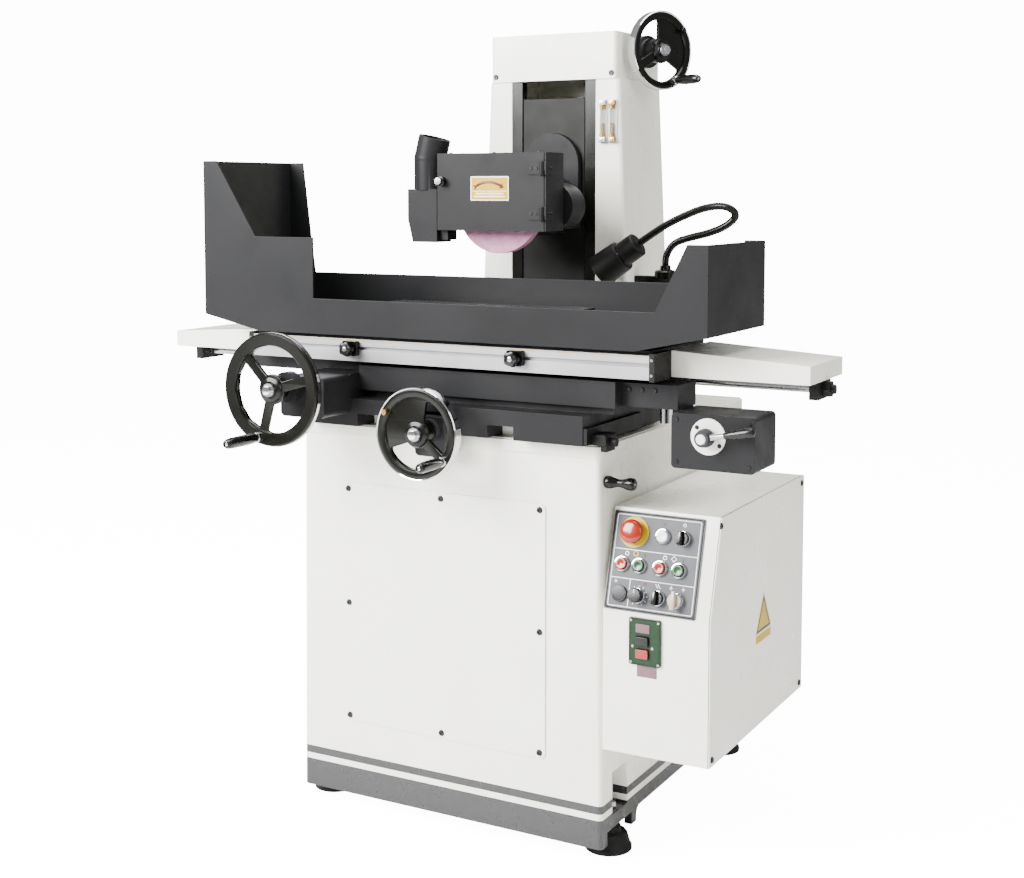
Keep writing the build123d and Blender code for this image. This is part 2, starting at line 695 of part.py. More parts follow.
def make_handwheel(axis, wheel_plane, radius, rim, first_spoke, shaft, gear, name, web=None):
    """A three-spoked handwheel with its shaft; web gives the angles of a solid sector."""
    with BuildPart() as handwheel:
        with Locations(wheel_plane):
            Torus(radius - rim, rim)
            with PolarLocations(radius / 2, 3, start_angle=first_spoke):
                Box(radius - rim, spoke_width, spoke_thick)
        if web:
            reach = radius - rim * 0.8
            turns = [radians(angle) for angle in range(web[0], web[1] + 1, web_step)]
            sector = [(0, 0)] + [(reach * cos(turn), reach * sin(turn)) for turn in turns]
            prism(wheel_plane.offset(-web_thick / 2), sector, web_thick)
        bar(wheel_plane.offset(-20), 26, 34)
        bar(wheel_plane.offset(14), 12, 8)
        bar(axis, 10, shaft)
        bar(axis.offset(gear[0]), gear[1], gear[2])
        bar(grip_plane(wheel_plane, radius, rim, name).offset(-1), 6 + body_gap, 30, Mode.SUBTRACT)
    save(handwheel.part, name)


grip_angles = {"table_handwheel": -108.0, "cross_handwheel": -38.0, "elevation_handwheel": -60.0}


def grip_plane(wheel_plane, radius, rim, name):
    """The plane of a crank grip's foot, on the rim at the wheel's grip angle."""
    angle = radians(grip_angles[name])
    reach = radius - rim
    return Plane(wheel_plane.from_local_coords((reach * cos(angle), reach * sin(angle), 0)),
                 x_dir=wheel_plane.x_dir, z_dir=wheel_plane.z_dir)


def make_grip(foot, length, thick, name):
    """A turning crank grip on its pin."""
    with BuildPart() as grip:
        bar(foot, 6, 16)
        taper(foot.offset(14), thick - 3, thick, length * 0.35)
        taper(foot.offset(14 + length * 0.35), thick, thick - 2, length * 0.65 - thick)
        with Locations(foot.offset(14 + length - thick)):
            Sphere(thick - 2)
    save(grip.part, name)


table_wheel = facing_front(long_x, -190, long_height)
table_shaft = facing_front(long_x, 49, long_height)
make_handwheel(table_shaft, table_wheel, 112, 12, 15, 235, (1, 11.6, 20), "table_handwheel")
make_grip(grip_plane(table_wheel, 112, 12, "table_handwheel"), 95.5, 11, "table_grip")

cross_wheel = facing_front(cross_x, -102, cross_height)
cross_shaft = facing_front(cross_x, 300, cross_height)
make_handwheel(cross_shaft, cross_wheel, 90, 13, 80, 400, (374.2, 16, 4), "cross_handwheel",
               web=(80, 200))
make_grip(grip_plane(cross_wheel, 90, 13, "cross_handwheel"), 84, 10.5, "cross_grip")

elevation_wheel = elevation_axis.offset(236)
make_handwheel(elevation_axis.offset(22), elevation_wheel, 86, 12, 90, 214, (2, 19, 14),
               "elevation_handwheel", web=(-30, 90))
make_grip(grip_plane(elevation_wheel, 86, 12, "elevation_handwheel"), 72, 10.5, "elevation_grip")
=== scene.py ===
import json
import math
import random

import bmesh
import bpy
from mathutils import Matrix, Vector

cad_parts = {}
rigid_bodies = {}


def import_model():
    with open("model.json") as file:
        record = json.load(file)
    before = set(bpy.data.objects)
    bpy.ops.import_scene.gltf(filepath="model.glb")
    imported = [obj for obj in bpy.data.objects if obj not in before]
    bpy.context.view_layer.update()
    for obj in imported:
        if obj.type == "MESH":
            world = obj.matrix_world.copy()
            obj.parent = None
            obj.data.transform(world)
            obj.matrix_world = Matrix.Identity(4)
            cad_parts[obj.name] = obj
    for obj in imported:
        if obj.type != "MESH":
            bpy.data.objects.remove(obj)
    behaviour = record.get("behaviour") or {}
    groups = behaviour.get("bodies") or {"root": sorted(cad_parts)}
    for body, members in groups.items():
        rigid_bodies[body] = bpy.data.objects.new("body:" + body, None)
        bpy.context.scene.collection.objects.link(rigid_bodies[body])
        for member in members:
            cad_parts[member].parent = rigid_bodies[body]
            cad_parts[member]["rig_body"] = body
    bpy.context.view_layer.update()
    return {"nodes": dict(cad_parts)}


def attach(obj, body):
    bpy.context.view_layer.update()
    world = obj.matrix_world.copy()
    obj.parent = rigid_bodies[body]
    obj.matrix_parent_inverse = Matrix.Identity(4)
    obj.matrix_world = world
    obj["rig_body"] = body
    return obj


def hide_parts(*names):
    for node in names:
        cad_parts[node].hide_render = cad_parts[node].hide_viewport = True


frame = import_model()
nodes = frame["nodes"]
random.seed(7)

MM = 0.001
RIGHT = Vector((1, 0, 0))
BACK = Vector((0, 1, 0))
UP = Vector((0, 0, 1))


# --- Shared shader groups ---------------------------------------------------------------

def shader_group(name, inputs, outputs):
    """An empty shader group with named sockets; returns the tree with its two end nodes."""
    tree = bpy.data.node_groups.new(name, "ShaderNodeTree")
    for label, kind, value in inputs:
        socket = tree.interface.new_socket(name=label, in_out="INPUT", socket_type=kind)
        if value is not None:
            socket.default_value = value
    for label, kind in outputs:
        tree.interface.new_socket(name=label, in_out="OUTPUT", socket_type=kind)
    return tree, tree.nodes.new("NodeGroupInput"), tree.nodes.new("NodeGroupOutput")


def noise(tree, position, scale, detail):
    """A noise texture in a tree, fed with a position."""
    node = tree.nodes.new("ShaderNodeTexNoise")
    node.inputs["Detail"].default_value = detail
    tree.links.new(position, node.inputs["Vector"])
    tree.links.new(scale, node.inputs["Scale"])
    return node.outputs["Fac"]


def remap(tree, value, low, high, to_low, to_high):
    """A map-range node; each end is a number or a socket."""
    node = tree.nodes.new("ShaderNodeMapRange")
    tree.links.new(value, node.inputs["Value"])
    ends = {"From Min": low, "From Max": high, "To Min": to_low, "To Max": to_high}
    for label, end in ends.items():
        if isinstance(end, (int, float)):
            node.inputs[label].default_value = end
        else:
            tree.links.new(end, node.inputs[label])
    return node.outputs["Result"]


def mix_colours(tree, share, first, second):
    """A colour mix; the share and the first colour are sockets, the second either kind."""
    mix = tree.nodes.new("ShaderNodeMix")
    mix.data_type = "RGBA"
    tree.links.new(share, mix.inputs["Factor"])
    tree.links.new(first, mix.inputs["A"])
    if isinstance(second, tuple):
        mix.inputs["B"].default_value = (*second, 1)
    else:
        tree.links.new(second, mix.inputs["B"])
    return mix.outputs["Result"]


def build_tone_drift():
    """Two tones of one colour, drifting slowly over the surface."""
    tree, given, result = shader_group(
        "tone_drift",
        [("Position", "NodeSocketVector", None), ("Scale", "NodeSocketFloat", 5.0),
         ("Amount", "NodeSocketFloat", 1.0), ("Light", "NodeSocketColor", None),
         ("Dark", "NodeSocketColor", None)],
        [("Color", "NodeSocketColor")])
    value = noise(tree, given.outputs["Position"], given.outputs["Scale"], 3.0)
    share = remap(tree, value, 0.35, 0.68, 0.0, given.outputs["Amount"])
    mixed = mix_colours(tree, share, given.outputs["Light"], given.outputs["Dark"])
    tree.links.new(mixed, result.inputs["Color"])
    return tree


def build_gloss_drift():
    """A roughness that wanders between two values, as on paint that has been wiped."""
    tree, given, result = shader_group(
        "gloss_drift",
        [("Position", "NodeSocketVector", None), ("Scale", "NodeSocketFloat", 9.0),
         ("Smooth", "NodeSocketFloat", 0.3), ("Rough", "NodeSocketFloat", 0.45)],
        [("Roughness", "NodeSocketFloat")])
    value = noise(tree, given.outputs["Position"], given.outputs["Scale"], 4.0)
    rough = remap(tree, value, 0.3, 0.7, given.outputs["Smooth"], given.outputs["Rough"])
    tree.links.new(rough, result.inputs["Roughness"])
    return tree


def build_fine_grain():
    """A fine height for orange peel, cast skin or brushing, by the scale of its position."""
    tree, given, result = shader_group(
        "fine_grain",
        [("Position", "NodeSocketVector", None), ("Scale", "NodeSocketFloat", 300.0)],
        [("Height", "NodeSocketFloat")])
    value = noise(tree, given.outputs["Position"], given.outputs["Scale"], 2.0)
    tree.links.new(value, result.inputs["Height"])
    return tree


def build_speckle():
    """Small separate spots, as grits in a bond or flecks in paint."""
    tree, given, result = shader_group(
        "speckle",
        [("Position", "NodeSocketVector", None), ("Scale", "NodeSocketFloat", 500.0),
         ("Cover", "NodeSocketFloat", 0.3)],
        [("Mask", "NodeSocketFloat")])
    cells = tree.nodes.new("ShaderNodeTexVoronoi")
    tree.links.new(given.outputs["Position"], cells.inputs["Vector"])
    tree.links.new(given.outputs["Scale"], cells.inputs["Scale"])
    mask = remap(tree, cells.outputs["Distance"], given.outputs["Cover"], 0.0, 0.0, 1.0)
    tree.links.new(mask, result.inputs["Mask"])
    return tree


tone_drift = build_tone_drift()
gloss_drift = build_gloss_drift()
fine_grain = build_fine_grain()
speckle = build_speckle()


# --- Materials --------------------------------------------------------------------------

def use_group(tree, group, position, **values):
    """A copy of a shader group in a material, with its own values."""
    node = tree.nodes.new("ShaderNodeGroup")
    node.node_tree = group
    tree.links.new(position, node.inputs["Position"])
    for label, value in values.items():
        node.inputs[label].default_value = value
    return node


def surface(name, light, dark, gloss=(0.3, 0.45), metallic=0.0, drift=6.0, amount=1.0,
            grain=(300.0, 0.03), stretch=(1, 1, 1), coat=0.0, shine=0.5, flecks=None):
    """A finish: two drifting tones, wandering gloss and a fine relief, on object coordinates."""
    material = bpy.data.materials.new(name)
    material.use_nodes = True
    tree = material.node_tree
    shader = tree.nodes["Principled BSDF"]
    shader.inputs["Metallic"].default_value = metallic
    shader.inputs["Coat Weight"].default_value = coat
    shader.inputs["Coat Roughness"].default_value = 0.12
    shader.inputs["Specular IOR Level"].default_value = shine
    where = tree.nodes.new("ShaderNodeTexCoord").outputs["Object"]
    mapping = tree.nodes.new("ShaderNodeMapping")
    mapping.inputs["Scale"].default_value = stretch
    tree.links.new(where, mapping.inputs["Vector"])
    tones = use_group(tree, tone_drift, where, Scale=drift, Amount=amount,
                      Light=(*light, 1), Dark=(*dark, 1))
    colour = tones.outputs["Color"]
    if flecks:
        spots = use_group(tree, speckle, where, Scale=flecks[1], Cover=flecks[2])
        colour = mix_colours(tree, spots.outputs["Mask"], colour, flecks[0])
    tree.links.new(colour, shader.inputs["Base Color"])
    rough = use_group(tree, gloss_drift, mapping.outputs["Vector"], Scale=drift * 2,
                      Smooth=gloss[0], Rough=gloss[1])
    tree.links.new(rough.outputs["Roughness"], shader.inputs["Roughness"])
    relief = use_group(tree, fine_grain, mapping.outputs["Vector"], Scale=grain[0])
    bump = tree.nodes.new("ShaderNodeBump")
    bump.inputs["Strength"].default_value = grain[1]
    bump.inputs["Distance"].default_value = 0.001
    tree.links.new(relief.outputs["Height"], bump.inputs["Height"])
    tree.links.new(bump.outputs["Normal"], shader.inputs["Normal"])
    return material


def banded_enamel(name, plain, band, heights):
    """The base's enamel: dark bands painted round its foot, by height above the floor."""
    material = surface(name, plain[0], plain[1], gloss=(0.22, 0.34), coat=0.25,
                       grain=(900.0, 0.02))
    tree = material.node_tree
    shader = tree.nodes["Principled BSDF"]
    plain_colour = shader.inputs["Base Color"].links[0].from_socket
    where = tree.nodes.new("ShaderNodeTexCoord").outputs["Object"]
    split = tree.nodes.new("ShaderNodeSeparateXYZ")
    tree.links.new(where, split.inputs["Vector"])
    top = heights[-1] * 1.25
    share = remap(tree, split.outputs["Z"], 0.0, top, 0.0, 1.0)
    ramp = tree.nodes.new("ShaderNodeValToRGB")
    ramp.color_ramp.interpolation = "CONSTANT"
    ramp.color_ramp.elements[0].color = (1, 1, 1, 1)
    ramp.color_ramp.elements[1].position = heights[0] / top
    ramp.color_ramp.elements[1].color = (0, 0, 0, 1)
    for count, height in enumerate(heights[1:]):
        stop = ramp.color_ramp.elements.new(height / top)
        stop.color = (1, 1, 1, 1) if count % 2 == 0 else (0, 0, 0, 1)
    tree.links.new(share, ramp.inputs["Fac"])
    banded = mix_colours(tree, ramp.outputs["Color"], plain_colour, band)
    tree.links.new(banded, shader.inputs["Base Color"])
    return material


def clear_glass(name, tint):
    """Thin clear glass or plastic with a tint."""
    material = surface(name, tint, tint, gloss=(0.03, 0.08), grain=(200.0, 0.01))
    shader = material.node_tree.nodes["Principled BSDF"]
    shader.inputs["Transmission Weight"].default_value = 0.9
    return material


PRINT = {"grain": (600.0, 0.02), "drift": 40.0}
white = ((0.90, 0.89, 0.80), (0.86, 0.845, 0.75))
base_enamel = banded_enamel("base_enamel", white, (0.022, 0.022, 0.024), (0.0845, 0.097, 0.113))
white_enamel = surface("white_enamel", *white, gloss=(0.22, 0.36), coat=0.25,
                       grain=(900.0, 0.02))
grey_enamel = surface("grey_enamel", (0.014, 0.014, 0.0147), (0.010, 0.010, 0.0107),
                      gloss=(0.34, 0.5), grain=(700.0, 0.06), drift=9.0, shine=0.12)
dark_sheet = surface("dark_sheet", (0.013, 0.013, 0.0137), (0.0095, 0.0095, 0.0102),
                     gloss=(0.34, 0.5), grain=(600.0, 0.05), drift=5.0, shine=0.12)
cast_grey = surface("cast_grey", (0.05, 0.05, 0.053), (0.034, 0.034, 0.037), gloss=(0.45, 0.6),
                    metallic=0.4, grain=(450.0, 0.12), shine=0.25)
black_enamel = surface("black_enamel", (0.0035, 0.0035, 0.0022), (0.0022, 0.0022, 0.0014),
                       gloss=(0.16, 0.28), coat=0.05, grain=(500.0, 0.03), shine=0.2)
matt_black = surface("matt_black", (0.0035, 0.0035, 0.0026), (0.0022, 0.0022, 0.0018),
                     gloss=(0.45, 0.6), grain=(500.0, 0.06), shine=0.2)
screw_black = surface("screw_black", (0.02, 0.02, 0.02), (0.012, 0.012, 0.012),
                      gloss=(0.3, 0.42), metallic=0.6, grain=(1500.0, 0.05), drift=60.0)
bright_steel = surface("bright_steel", (0.42, 0.42, 0.43), (0.32, 0.32, 0.34), metallic=1.0,
                       gloss=(0.2, 0.34), grain=(500.0, 0.04), drift=20.0)
turned_steel = surface("turned_steel", (0.6, 0.6, 0.62), (0.46, 0.46, 0.48), metallic=1.0,
                       gloss=(0.28, 0.4), grain=(90.0, 0.05), stretch=(1, 14, 1), drift=12.0)
chrome = surface("chrome", (0.75, 0.75, 0.77), (0.66, 0.66, 0.68), metallic=1.0,
                 gloss=(0.06, 0.14), grain=(200.0, 0.01), drift=30.0)
brushed_bar = surface("brushed_bar", (0.38, 0.375, 0.39), (0.31, 0.305, 0.32), metallic=0.75,
                      gloss=(0.36, 0.5), grain=(40.0, 0.08), stretch=(1, 60, 60), drift=8.0)
chuck_steel = surface("chuck_steel", (0.10, 0.10, 0.10), (0.065, 0.065, 0.067), metallic=0.9,
                      gloss=(0.3, 0.46), grain=(60.0, 0.06), stretch=(30, 1, 30), drift=14.0)
brass = surface("brass", (0.42, 0.27, 0.08), (0.32, 0.20, 0.055), metallic=1.0,
                gloss=(0.25, 0.36), grain=(400.0, 0.03), drift=20.0)
rubber_black = surface("rubber_black", (0.006, 0.006, 0.006), (0.004, 0.004, 0.004),
                       gloss=(0.55, 0.75), grain=(420.0, 0.12), drift=18.0, shine=0.2)
abrasive_pink = surface("abrasive_pink", (0.48, 0.23, 0.34), (0.40, 0.18, 0.28),
                        gloss=(0.8, 0.95), grain=(1500.0, 0.5), drift=60.0,
                        flecks=((0.78, 0.52, 0.65), 700.0, 0.36), shine=0.2)
console_grey = surface("console_grey", (0.075, 0.078, 0.085), (0.062, 0.065, 0.071),
                       gloss=(0.34, 0.46), grain=(1200.0, 0.04), drift=12.0, shine=0.25)
starter_green = surface("starter_green", (0.006, 0.028, 0.008), (0.0045, 0.021, 0.006),
                        gloss=(0.26, 0.38), grain=(800.0, 0.03), drift=20.0, shine=0.25)
red_plastic = surface("red_moulded", (0.26, 0.013, 0.002), (0.21, 0.009, 0.0015),
                      gloss=(0.12, 0.22), grain=(400.0, 0.02), drift=30.0, coat=0.2)
green_plastic = surface("green_moulded", (0.006, 0.055, 0.011), (0.004, 0.042, 0.008),
                        gloss=(0.15, 0.26), grain=(400.0, 0.02), drift=30.0)
white_plastic = surface("white_moulded", (0.86, 0.86, 0.86), (0.78, 0.78, 0.79),
                        gloss=(0.14, 0.24), grain=(400.0, 0.02), drift=30.0)
beige_plastic = surface("beige_moulded", (0.42, 0.37, 0.27), (0.35, 0.30, 0.22),
                        gloss=(0.3, 0.42), grain=(500.0, 0.04), drift=30.0)
black_plastic = surface("black_moulded", (0.0035, 0.0035, 0.0035), (0.0022, 0.0022, 0.0022),
                        gloss=(0.16, 0.3), grain=(500.0, 0.03), drift=20.0, shine=0.35)
yellow_print = surface("yellow_print", (0.50, 0.33, 0.002), (0.44, 0.29, 0.002),
                       gloss=(0.3, 0.4), shine=0.25, **PRINT)
white_print = surface("white_print", (0.84, 0.84, 0.84), (0.78, 0.78, 0.78),
                      gloss=(0.35, 0.45), **PRINT)
red_print = surface("red_print", (0.12, 0.004, 0.003), (0.10, 0.003, 0.002),
                    gloss=(0.35, 0.45), shine=0.25, **PRINT)
pink_print = surface("pink_print", (0.17, 0.095, 0.11), (0.14, 0.08, 0.09),
                     gloss=(0.3, 0.4), shine=0.25, **PRINT)
gauge_glass = clear_glass("gauge_glass", (0.95, 0.96, 0.93))
oil = surface("oil", (0.40, 0.22, 0.02), (0.36, 0.19, 0.015), gloss=(0.08, 0.14),
              grain=(200.0, 0.01))


# --- Mesh helpers -----------------------------------------------------------------------

def link(name, mesh):
    """A new object at the origin for a mesh."""
    piece = bpy.data.objects.new(name, mesh)
    bpy.context.scene.collection.objects.link(piece)
    return piece


def frame_at(origin, outward, right):
    """The matrix of a local frame: X to the right, Z outwards."""
    z = Vector(outward).normalized()
    x = (Vector(right) - z * Vector(right).dot(z)).normalized()
    y = z.cross(x)
    return Matrix(((x[0], y[0], z[0], origin[0]), (x[1], y[1], z[1], origin[1]),
                   (x[2], y[2], z[2], origin[2]), (0, 0, 0, 1)))


def baked(piece):
    """The piece with its modifiers or curve turned into a plain mesh."""
    graph = bpy.context.evaluated_depsgraph_get()
    mesh = bpy.data.meshes.new_from_object(piece.evaluated_get(graph))
    name = piece.name
    bpy.data.objects.remove(piece)
    return link(name, mesh)


def shade(piece, material, sharp=32.0):
    """Smooth shading with crisp edges, and one material."""
    mesh = piece.data
    if material is not None:
        mesh.materials.clear()
        mesh.materials.append(material)
    for face in mesh.polygons:
        face.use_smooth = True
    mesh.set_sharp_from_angle(angle=math.radians(sharp))
    return piece


def finished_shape(shape, name, place, material):
    """A shape in mm made into a shaded piece at its place, with its normals outwards."""
    bmesh.ops.recalc_face_normals(shape, faces=shape.faces)
    mesh = bpy.data.meshes.new(name)
    shape.to_mesh(mesh)
    shape.free()
    piece = link(name, mesh)
    mesh.transform(place @ Matrix.Scale(MM, 4))
    return shade(piece, material)


def turned(name, profile, place, material, segments=48, lobes=None):
    """A turned piece from (radius, height) pairs in mm along the frame's Z axis."""
    shape = bmesh.new()
    rings = []
    for radius, height in profile:
        if radius < 1e-6:
            rings.append([shape.verts.new((0, 0, height))])
            continue
        ring = []
        for step in range(segments):
            angle = 2 * math.pi * step / segments
            reach = radius * (lobes(angle) if lobes else 1.0)
            corner = (reach * math.cos(angle), reach * math.sin(angle), height)
            ring.append(shape.verts.new(corner))
        rings.append(ring)
    for low, high in zip(rings, rings[1:]):
        for step in range(segments):
            after = (step + 1) % segments
            if len(low) == 1 and len(high) > 1:
                shape.faces.new((low[0], high[after], high[step]))
            elif len(high) == 1 and len(low) > 1:
                shape.faces.new((low[step], low[after], high[0]))
            elif len(low) > 1:
                shape.faces.new((low[step], low[after], high[after], high[step]))
    for end in (rings[0], rings[-1]):
        if len(end) > 1:
            shape.faces.new(end)
    return finished_shape(shape, name, place, material)


def ring_band(name, profile, place, material, segments=64):
    """A turned ring: the profile is a closed loop of (radius, height) pairs."""
    shape = bmesh.new()
    rings = []
    for radius, height in profile:
        rings.append([shape.verts.new((radius * math.cos(2 * math.pi * step / segments),
                                       radius * math.sin(2 * math.pi * step / segments), height))
                      for step in range(segments)])
    for count, low in enumerate(rings):
        high = rings[(count + 1) % len(rings)]
        for step in range(segments):
            after = (step + 1) % segments
            shape.faces.new((low[step], low[after], high[after], high[step]))
    return finished_shape(shape, name, place, material)


def cut_plate(name, outline, holes, thickness, edge, place, material):
    """A plate with rounded edges and holes, drawn as flat closed outlines."""
    curve = bpy.data.curves.new(name, "CURVE")
    curve.dimensions = "2D"
    curve.fill_mode = "BOTH"
    curve.extrude = thickness / 2 - edge
    curve.bevel_depth = edge
    curve.bevel_resolution = 2
    curve.offset = -edge
    for points in [outline] + list(holes):
        line = curve.splines.new("POLY")
        line.points.add(len(points) - 1)
        for point, (x, y) in zip(line.points, points):
            point.co = (x, y, 0, 1)
        line.use_cyclic_u = True
    piece = baked(link(name, curve))
    clean = bmesh.new()
    clean.from_mesh(piece.data)
    bmesh.ops.remove_doubles(clean, verts=clean.verts, dist=1e-4)
    bmesh.ops.recalc_face_normals(clean, faces=clean.faces)
    clean.to_mesh(piece.data)
    clean.free()
    lift = Matrix.Translation((0, 0, thickness / 2))
    piece.data.transform(place @ Matrix.Scale(MM, 4) @ lift)
    return shade(piece, material)


def circle(radius, count=64, centre=(0, 0)):
    """The points of a circle."""
    return [(centre[0] + radius * math.cos(2 * math.pi * step / count),
             centre[1] + radius * math.sin(2 * math.pi * step / count)) for step in range(count)]


def rounded(width, height, corner, centre=(0, 0), count=5):
    """The points of a rectangle with round corners."""
    points = []
    for quarter, (sx, sy) in enumerate(((1, 1), (-1, 1), (-1, -1), (1, -1))):
        for step in range(count + 1):
            angle = math.pi / 2 * (quarter + step / count)
            points.append((centre[0] + sx * (width / 2 - corner) + corner * math.cos(angle),
                           centre[1] + sy * (height / 2 - corner) + corner * math.sin(angle)))
    return points


def softened(node, material, edge=1.2, extra=(), sharp=34.0):
    """A CAD part with its edges broken; extra gives (test, material) for some faces."""
    body = nodes[node]["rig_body"]
    mesh = nodes[node].data.copy()
    shape = bmesh.new()
    shape.from_mesh(mesh)
    bmesh.ops.remove_doubles(shape, verts=shape.verts, dist=2e-6)
    bmesh.ops.dissolve_limit(shape, angle_limit=math.radians(0.6), verts=shape.verts,
                             edges=shape.edges)
    shape.to_mesh(mesh)
    shape.free()
    mesh.materials.clear()
    mesh.materials.append(material)
    for _, other in extra:
        mesh.materials.append(other)
    for face in mesh.polygons:
        face.material_index = 0
        for count, (test, other) in enumerate(extra):
            if test(Vector(face.center)):
                face.material_index = count + 1
    piece = link(node + "_finished", mesh)
    if edge > 0:
        bevel = piece.modifiers.new("edge", "BEVEL")
        bevel.width = edge * MM
        bevel.segments = 2
        bevel.limit_method = "ANGLE"
        bevel.angle_limit = math.radians(sharp)
        bevel.use_clamp_overlap = True
        bevel.miter_outer = "MITER_ARC"
    piece = baked(piece)
    shade(piece, None)
    weighted = piece.modifiers.new("faces", "WEIGHTED_NORMAL")
    weighted.keep_sharp = True
    piece = baked(piece)
    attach(piece, body)
    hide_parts(node)
    return piece


def rides(piece, body, stands_for=()):
    """A detail piece goes on its body, and the nodes it stands for are hidden."""
    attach(piece, body)
    if stands_for:
        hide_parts(*stands_for)
    return piece


# --- Geometry node trees ----------------------------------------------------------------

def shape_tree(name, inputs):
    """An empty geometry tree with named inputs; returns the tree with its two end nodes."""
    tree = bpy.data.node_groups.new(name, "GeometryNodeTree")
    tree.interface.new_socket(name="Geometry", in_out="INPUT", socket_type="NodeSocketGeometry")
    tree.interface.new_socket(name="Geometry", in_out="OUTPUT", socket_type="NodeSocketGeometry")
    for label, kind, value in inputs:
        socket = tree.interface.new_socket(name=label, in_out="INPUT", socket_type=kind)
        if value is not None:
            socket.default_value = value
    return tree, tree.nodes.new("NodeGroupInput"), tree.nodes.new("NodeGroupOutput")


def grow(tree, piece, **values):
    """Run a geometry tree on an object with the given inputs and keep the plain result."""
    modifier = piece.modifiers.new(tree.name, "NODES")
    modifier.node_group = tree
    for item in tree.interface.items_tree:
        if item.item_type == "SOCKET" and item.in_out == "INPUT" and item.name in values:
            modifier[item.identifier] = values[item.name]
    return baked(piece)


def end_tree(tree, geometry, material, result):
    """Close a tree with Realize Instances and Set Material."""
    real = tree.nodes.new("GeometryNodeRealizeInstances")
    paint = tree.nodes.new("GeometryNodeSetMaterial")
    tree.links.new(geometry, real.inputs["Geometry"])
    tree.links.new(real.outputs["Geometry"], paint.inputs["Geometry"])
    tree.links.new(material, paint.inputs["Material"])
    tree.links.new(paint.outputs["Geometry"], result.inputs["Geometry"])


def build_screw_tree():
    """A socket screw head on every point, looking along the point's facing direction."""
    tree, given, result = shape_tree(
        "screw_heads", [("Radius", "NodeSocketFloat", 0.006), ("Height", "NodeSocketFloat", 0.003),
                        ("Socket", "NodeSocketFloat", 0.0025),
                        ("Material", "NodeSocketMaterial", None)])
    make = tree.nodes.new
    join = tree.links.new
    head = make("GeometryNodeMeshCone")
    head.inputs["Vertices"].default_value = 24
    narrow = make("ShaderNodeMath")
    narrow.operation = "MULTIPLY"
    narrow.inputs[1].default_value = 0.78
    join(given.outputs["Radius"], narrow.inputs[0])
    join(narrow.outputs[0], head.inputs["Radius Top"])
    join(given.outputs["Radius"], head.inputs["Radius Bottom"])
    join(given.outputs["Height"], head.inputs["Depth"])
    drive = make("GeometryNodeMeshCylinder")
    drive.inputs["Vertices"].default_value = 6
    join(given.outputs["Socket"], drive.inputs["Radius"])
    join(given.outputs["Height"], drive.inputs["Depth"])
    raise_drive = make("GeometryNodeTransform")
    offset = make("ShaderNodeCombineXYZ")
    join(given.outputs["Height"], offset.inputs["Z"])
    join(drive.outputs["Mesh"], raise_drive.inputs["Geometry"])
    join(offset.outputs["Vector"], raise_drive.inputs["Translation"])
    cut = make("GeometryNodeMeshBoolean")
    cut.operation = "DIFFERENCE"
    join(head.outputs["Mesh"], cut.inputs["Mesh 1"])
    join(raise_drive.outputs["Geometry"], cut.inputs["Mesh 2"])
    facing = make("GeometryNodeInputNamedAttribute")
    facing.data_type = "FLOAT_VECTOR"
    facing.inputs["Name"].default_value = "facing"
    turn = make("FunctionNodeAlignRotationToVector")
    turn.axis = "Z"
    join(facing.outputs["Attribute"], turn.inputs["Vector"])
    place = make("GeometryNodeInstanceOnPoints")
    join(given.outputs["Geometry"], place.inputs["Points"])
    join(cut.outputs["Mesh"], place.inputs["Instance"])
    join(turn.outputs["Rotation"], place.inputs["Rotation"])
    end_tree(tree, place.outputs["Instances"], given.outputs["Material"], result)
    return tree


def build_ring_tree():
    """Rings threaded on a curve, as the turns of a flexible metal hose."""
    tree, given, result = shape_tree(
        "hose_rings", [("Pitch", "NodeSocketFloat", 0.005), ("Radius", "NodeSocketFloat", 0.007),
                       ("Wire", "NodeSocketFloat", 0.0022),
                       ("Material", "NodeSocketMaterial", None)])
    make = tree.nodes.new
    join = tree.links.new
    spread = make("GeometryNodeCurveToPoints")
    spread.mode = "LENGTH"
    join(given.outputs["Geometry"], spread.inputs["Curve"])
    join(given.outputs["Pitch"], spread.inputs["Length"])
    round_line = make("GeometryNodeCurvePrimitiveCircle")
    round_line.inputs["Resolution"].default_value = 20
    join(given.outputs["Radius"], round_line.inputs["Radius"])
    wire = make("GeometryNodeCurvePrimitiveCircle")
    wire.inputs["Resolution"].default_value = 8
    join(given.outputs["Wire"], wire.inputs["Radius"])
    ring = make("GeometryNodeCurveToMesh")
    join(round_line.outputs["Curve"], ring.inputs["Curve"])
    join(wire.outputs["Curve"], ring.inputs["Profile Curve"])
    place = make("GeometryNodeInstanceOnPoints")
    join(spread.outputs["Points"], place.inputs["Points"])
    join(ring.outputs["Mesh"], place.inputs["Instance"])
    join(spread.outputs["Rotation"], place.inputs["Rotation"])
    end_tree(tree, place.outputs["Instances"], given.outputs["Material"], result)
    return tree


def build_strip_tree():
    """A straight row of equal strips."""
    tree, given, result = shape_tree(
        "strip_row", [("Count", "NodeSocketInt", 10), ("Start", "NodeSocketVector", None),
                      ("Step", "NodeSocketVector", None), ("Size", "NodeSocketVector", None),
                      ("Material", "NodeSocketMaterial", None)])
    make = tree.nodes.new
    join = tree.links.new
    row = make("GeometryNodeMeshLine")
    join(given.outputs["Count"], row.inputs["Count"])
    join(given.outputs["Start"], row.inputs["Start Location"])
    join(given.outputs["Step"], row.inputs["Offset"])
    strip = make("GeometryNodeMeshCube")
    join(given.outputs["Size"], strip.inputs["Size"])
    place = make("GeometryNodeInstanceOnPoints")
    join(row.outputs["Mesh"], place.inputs["Points"])
    join(strip.outputs["Mesh"], place.inputs["Instance"])
    end_tree(tree, place.outputs["Instances"], given.outputs["Material"], result)
    return tree


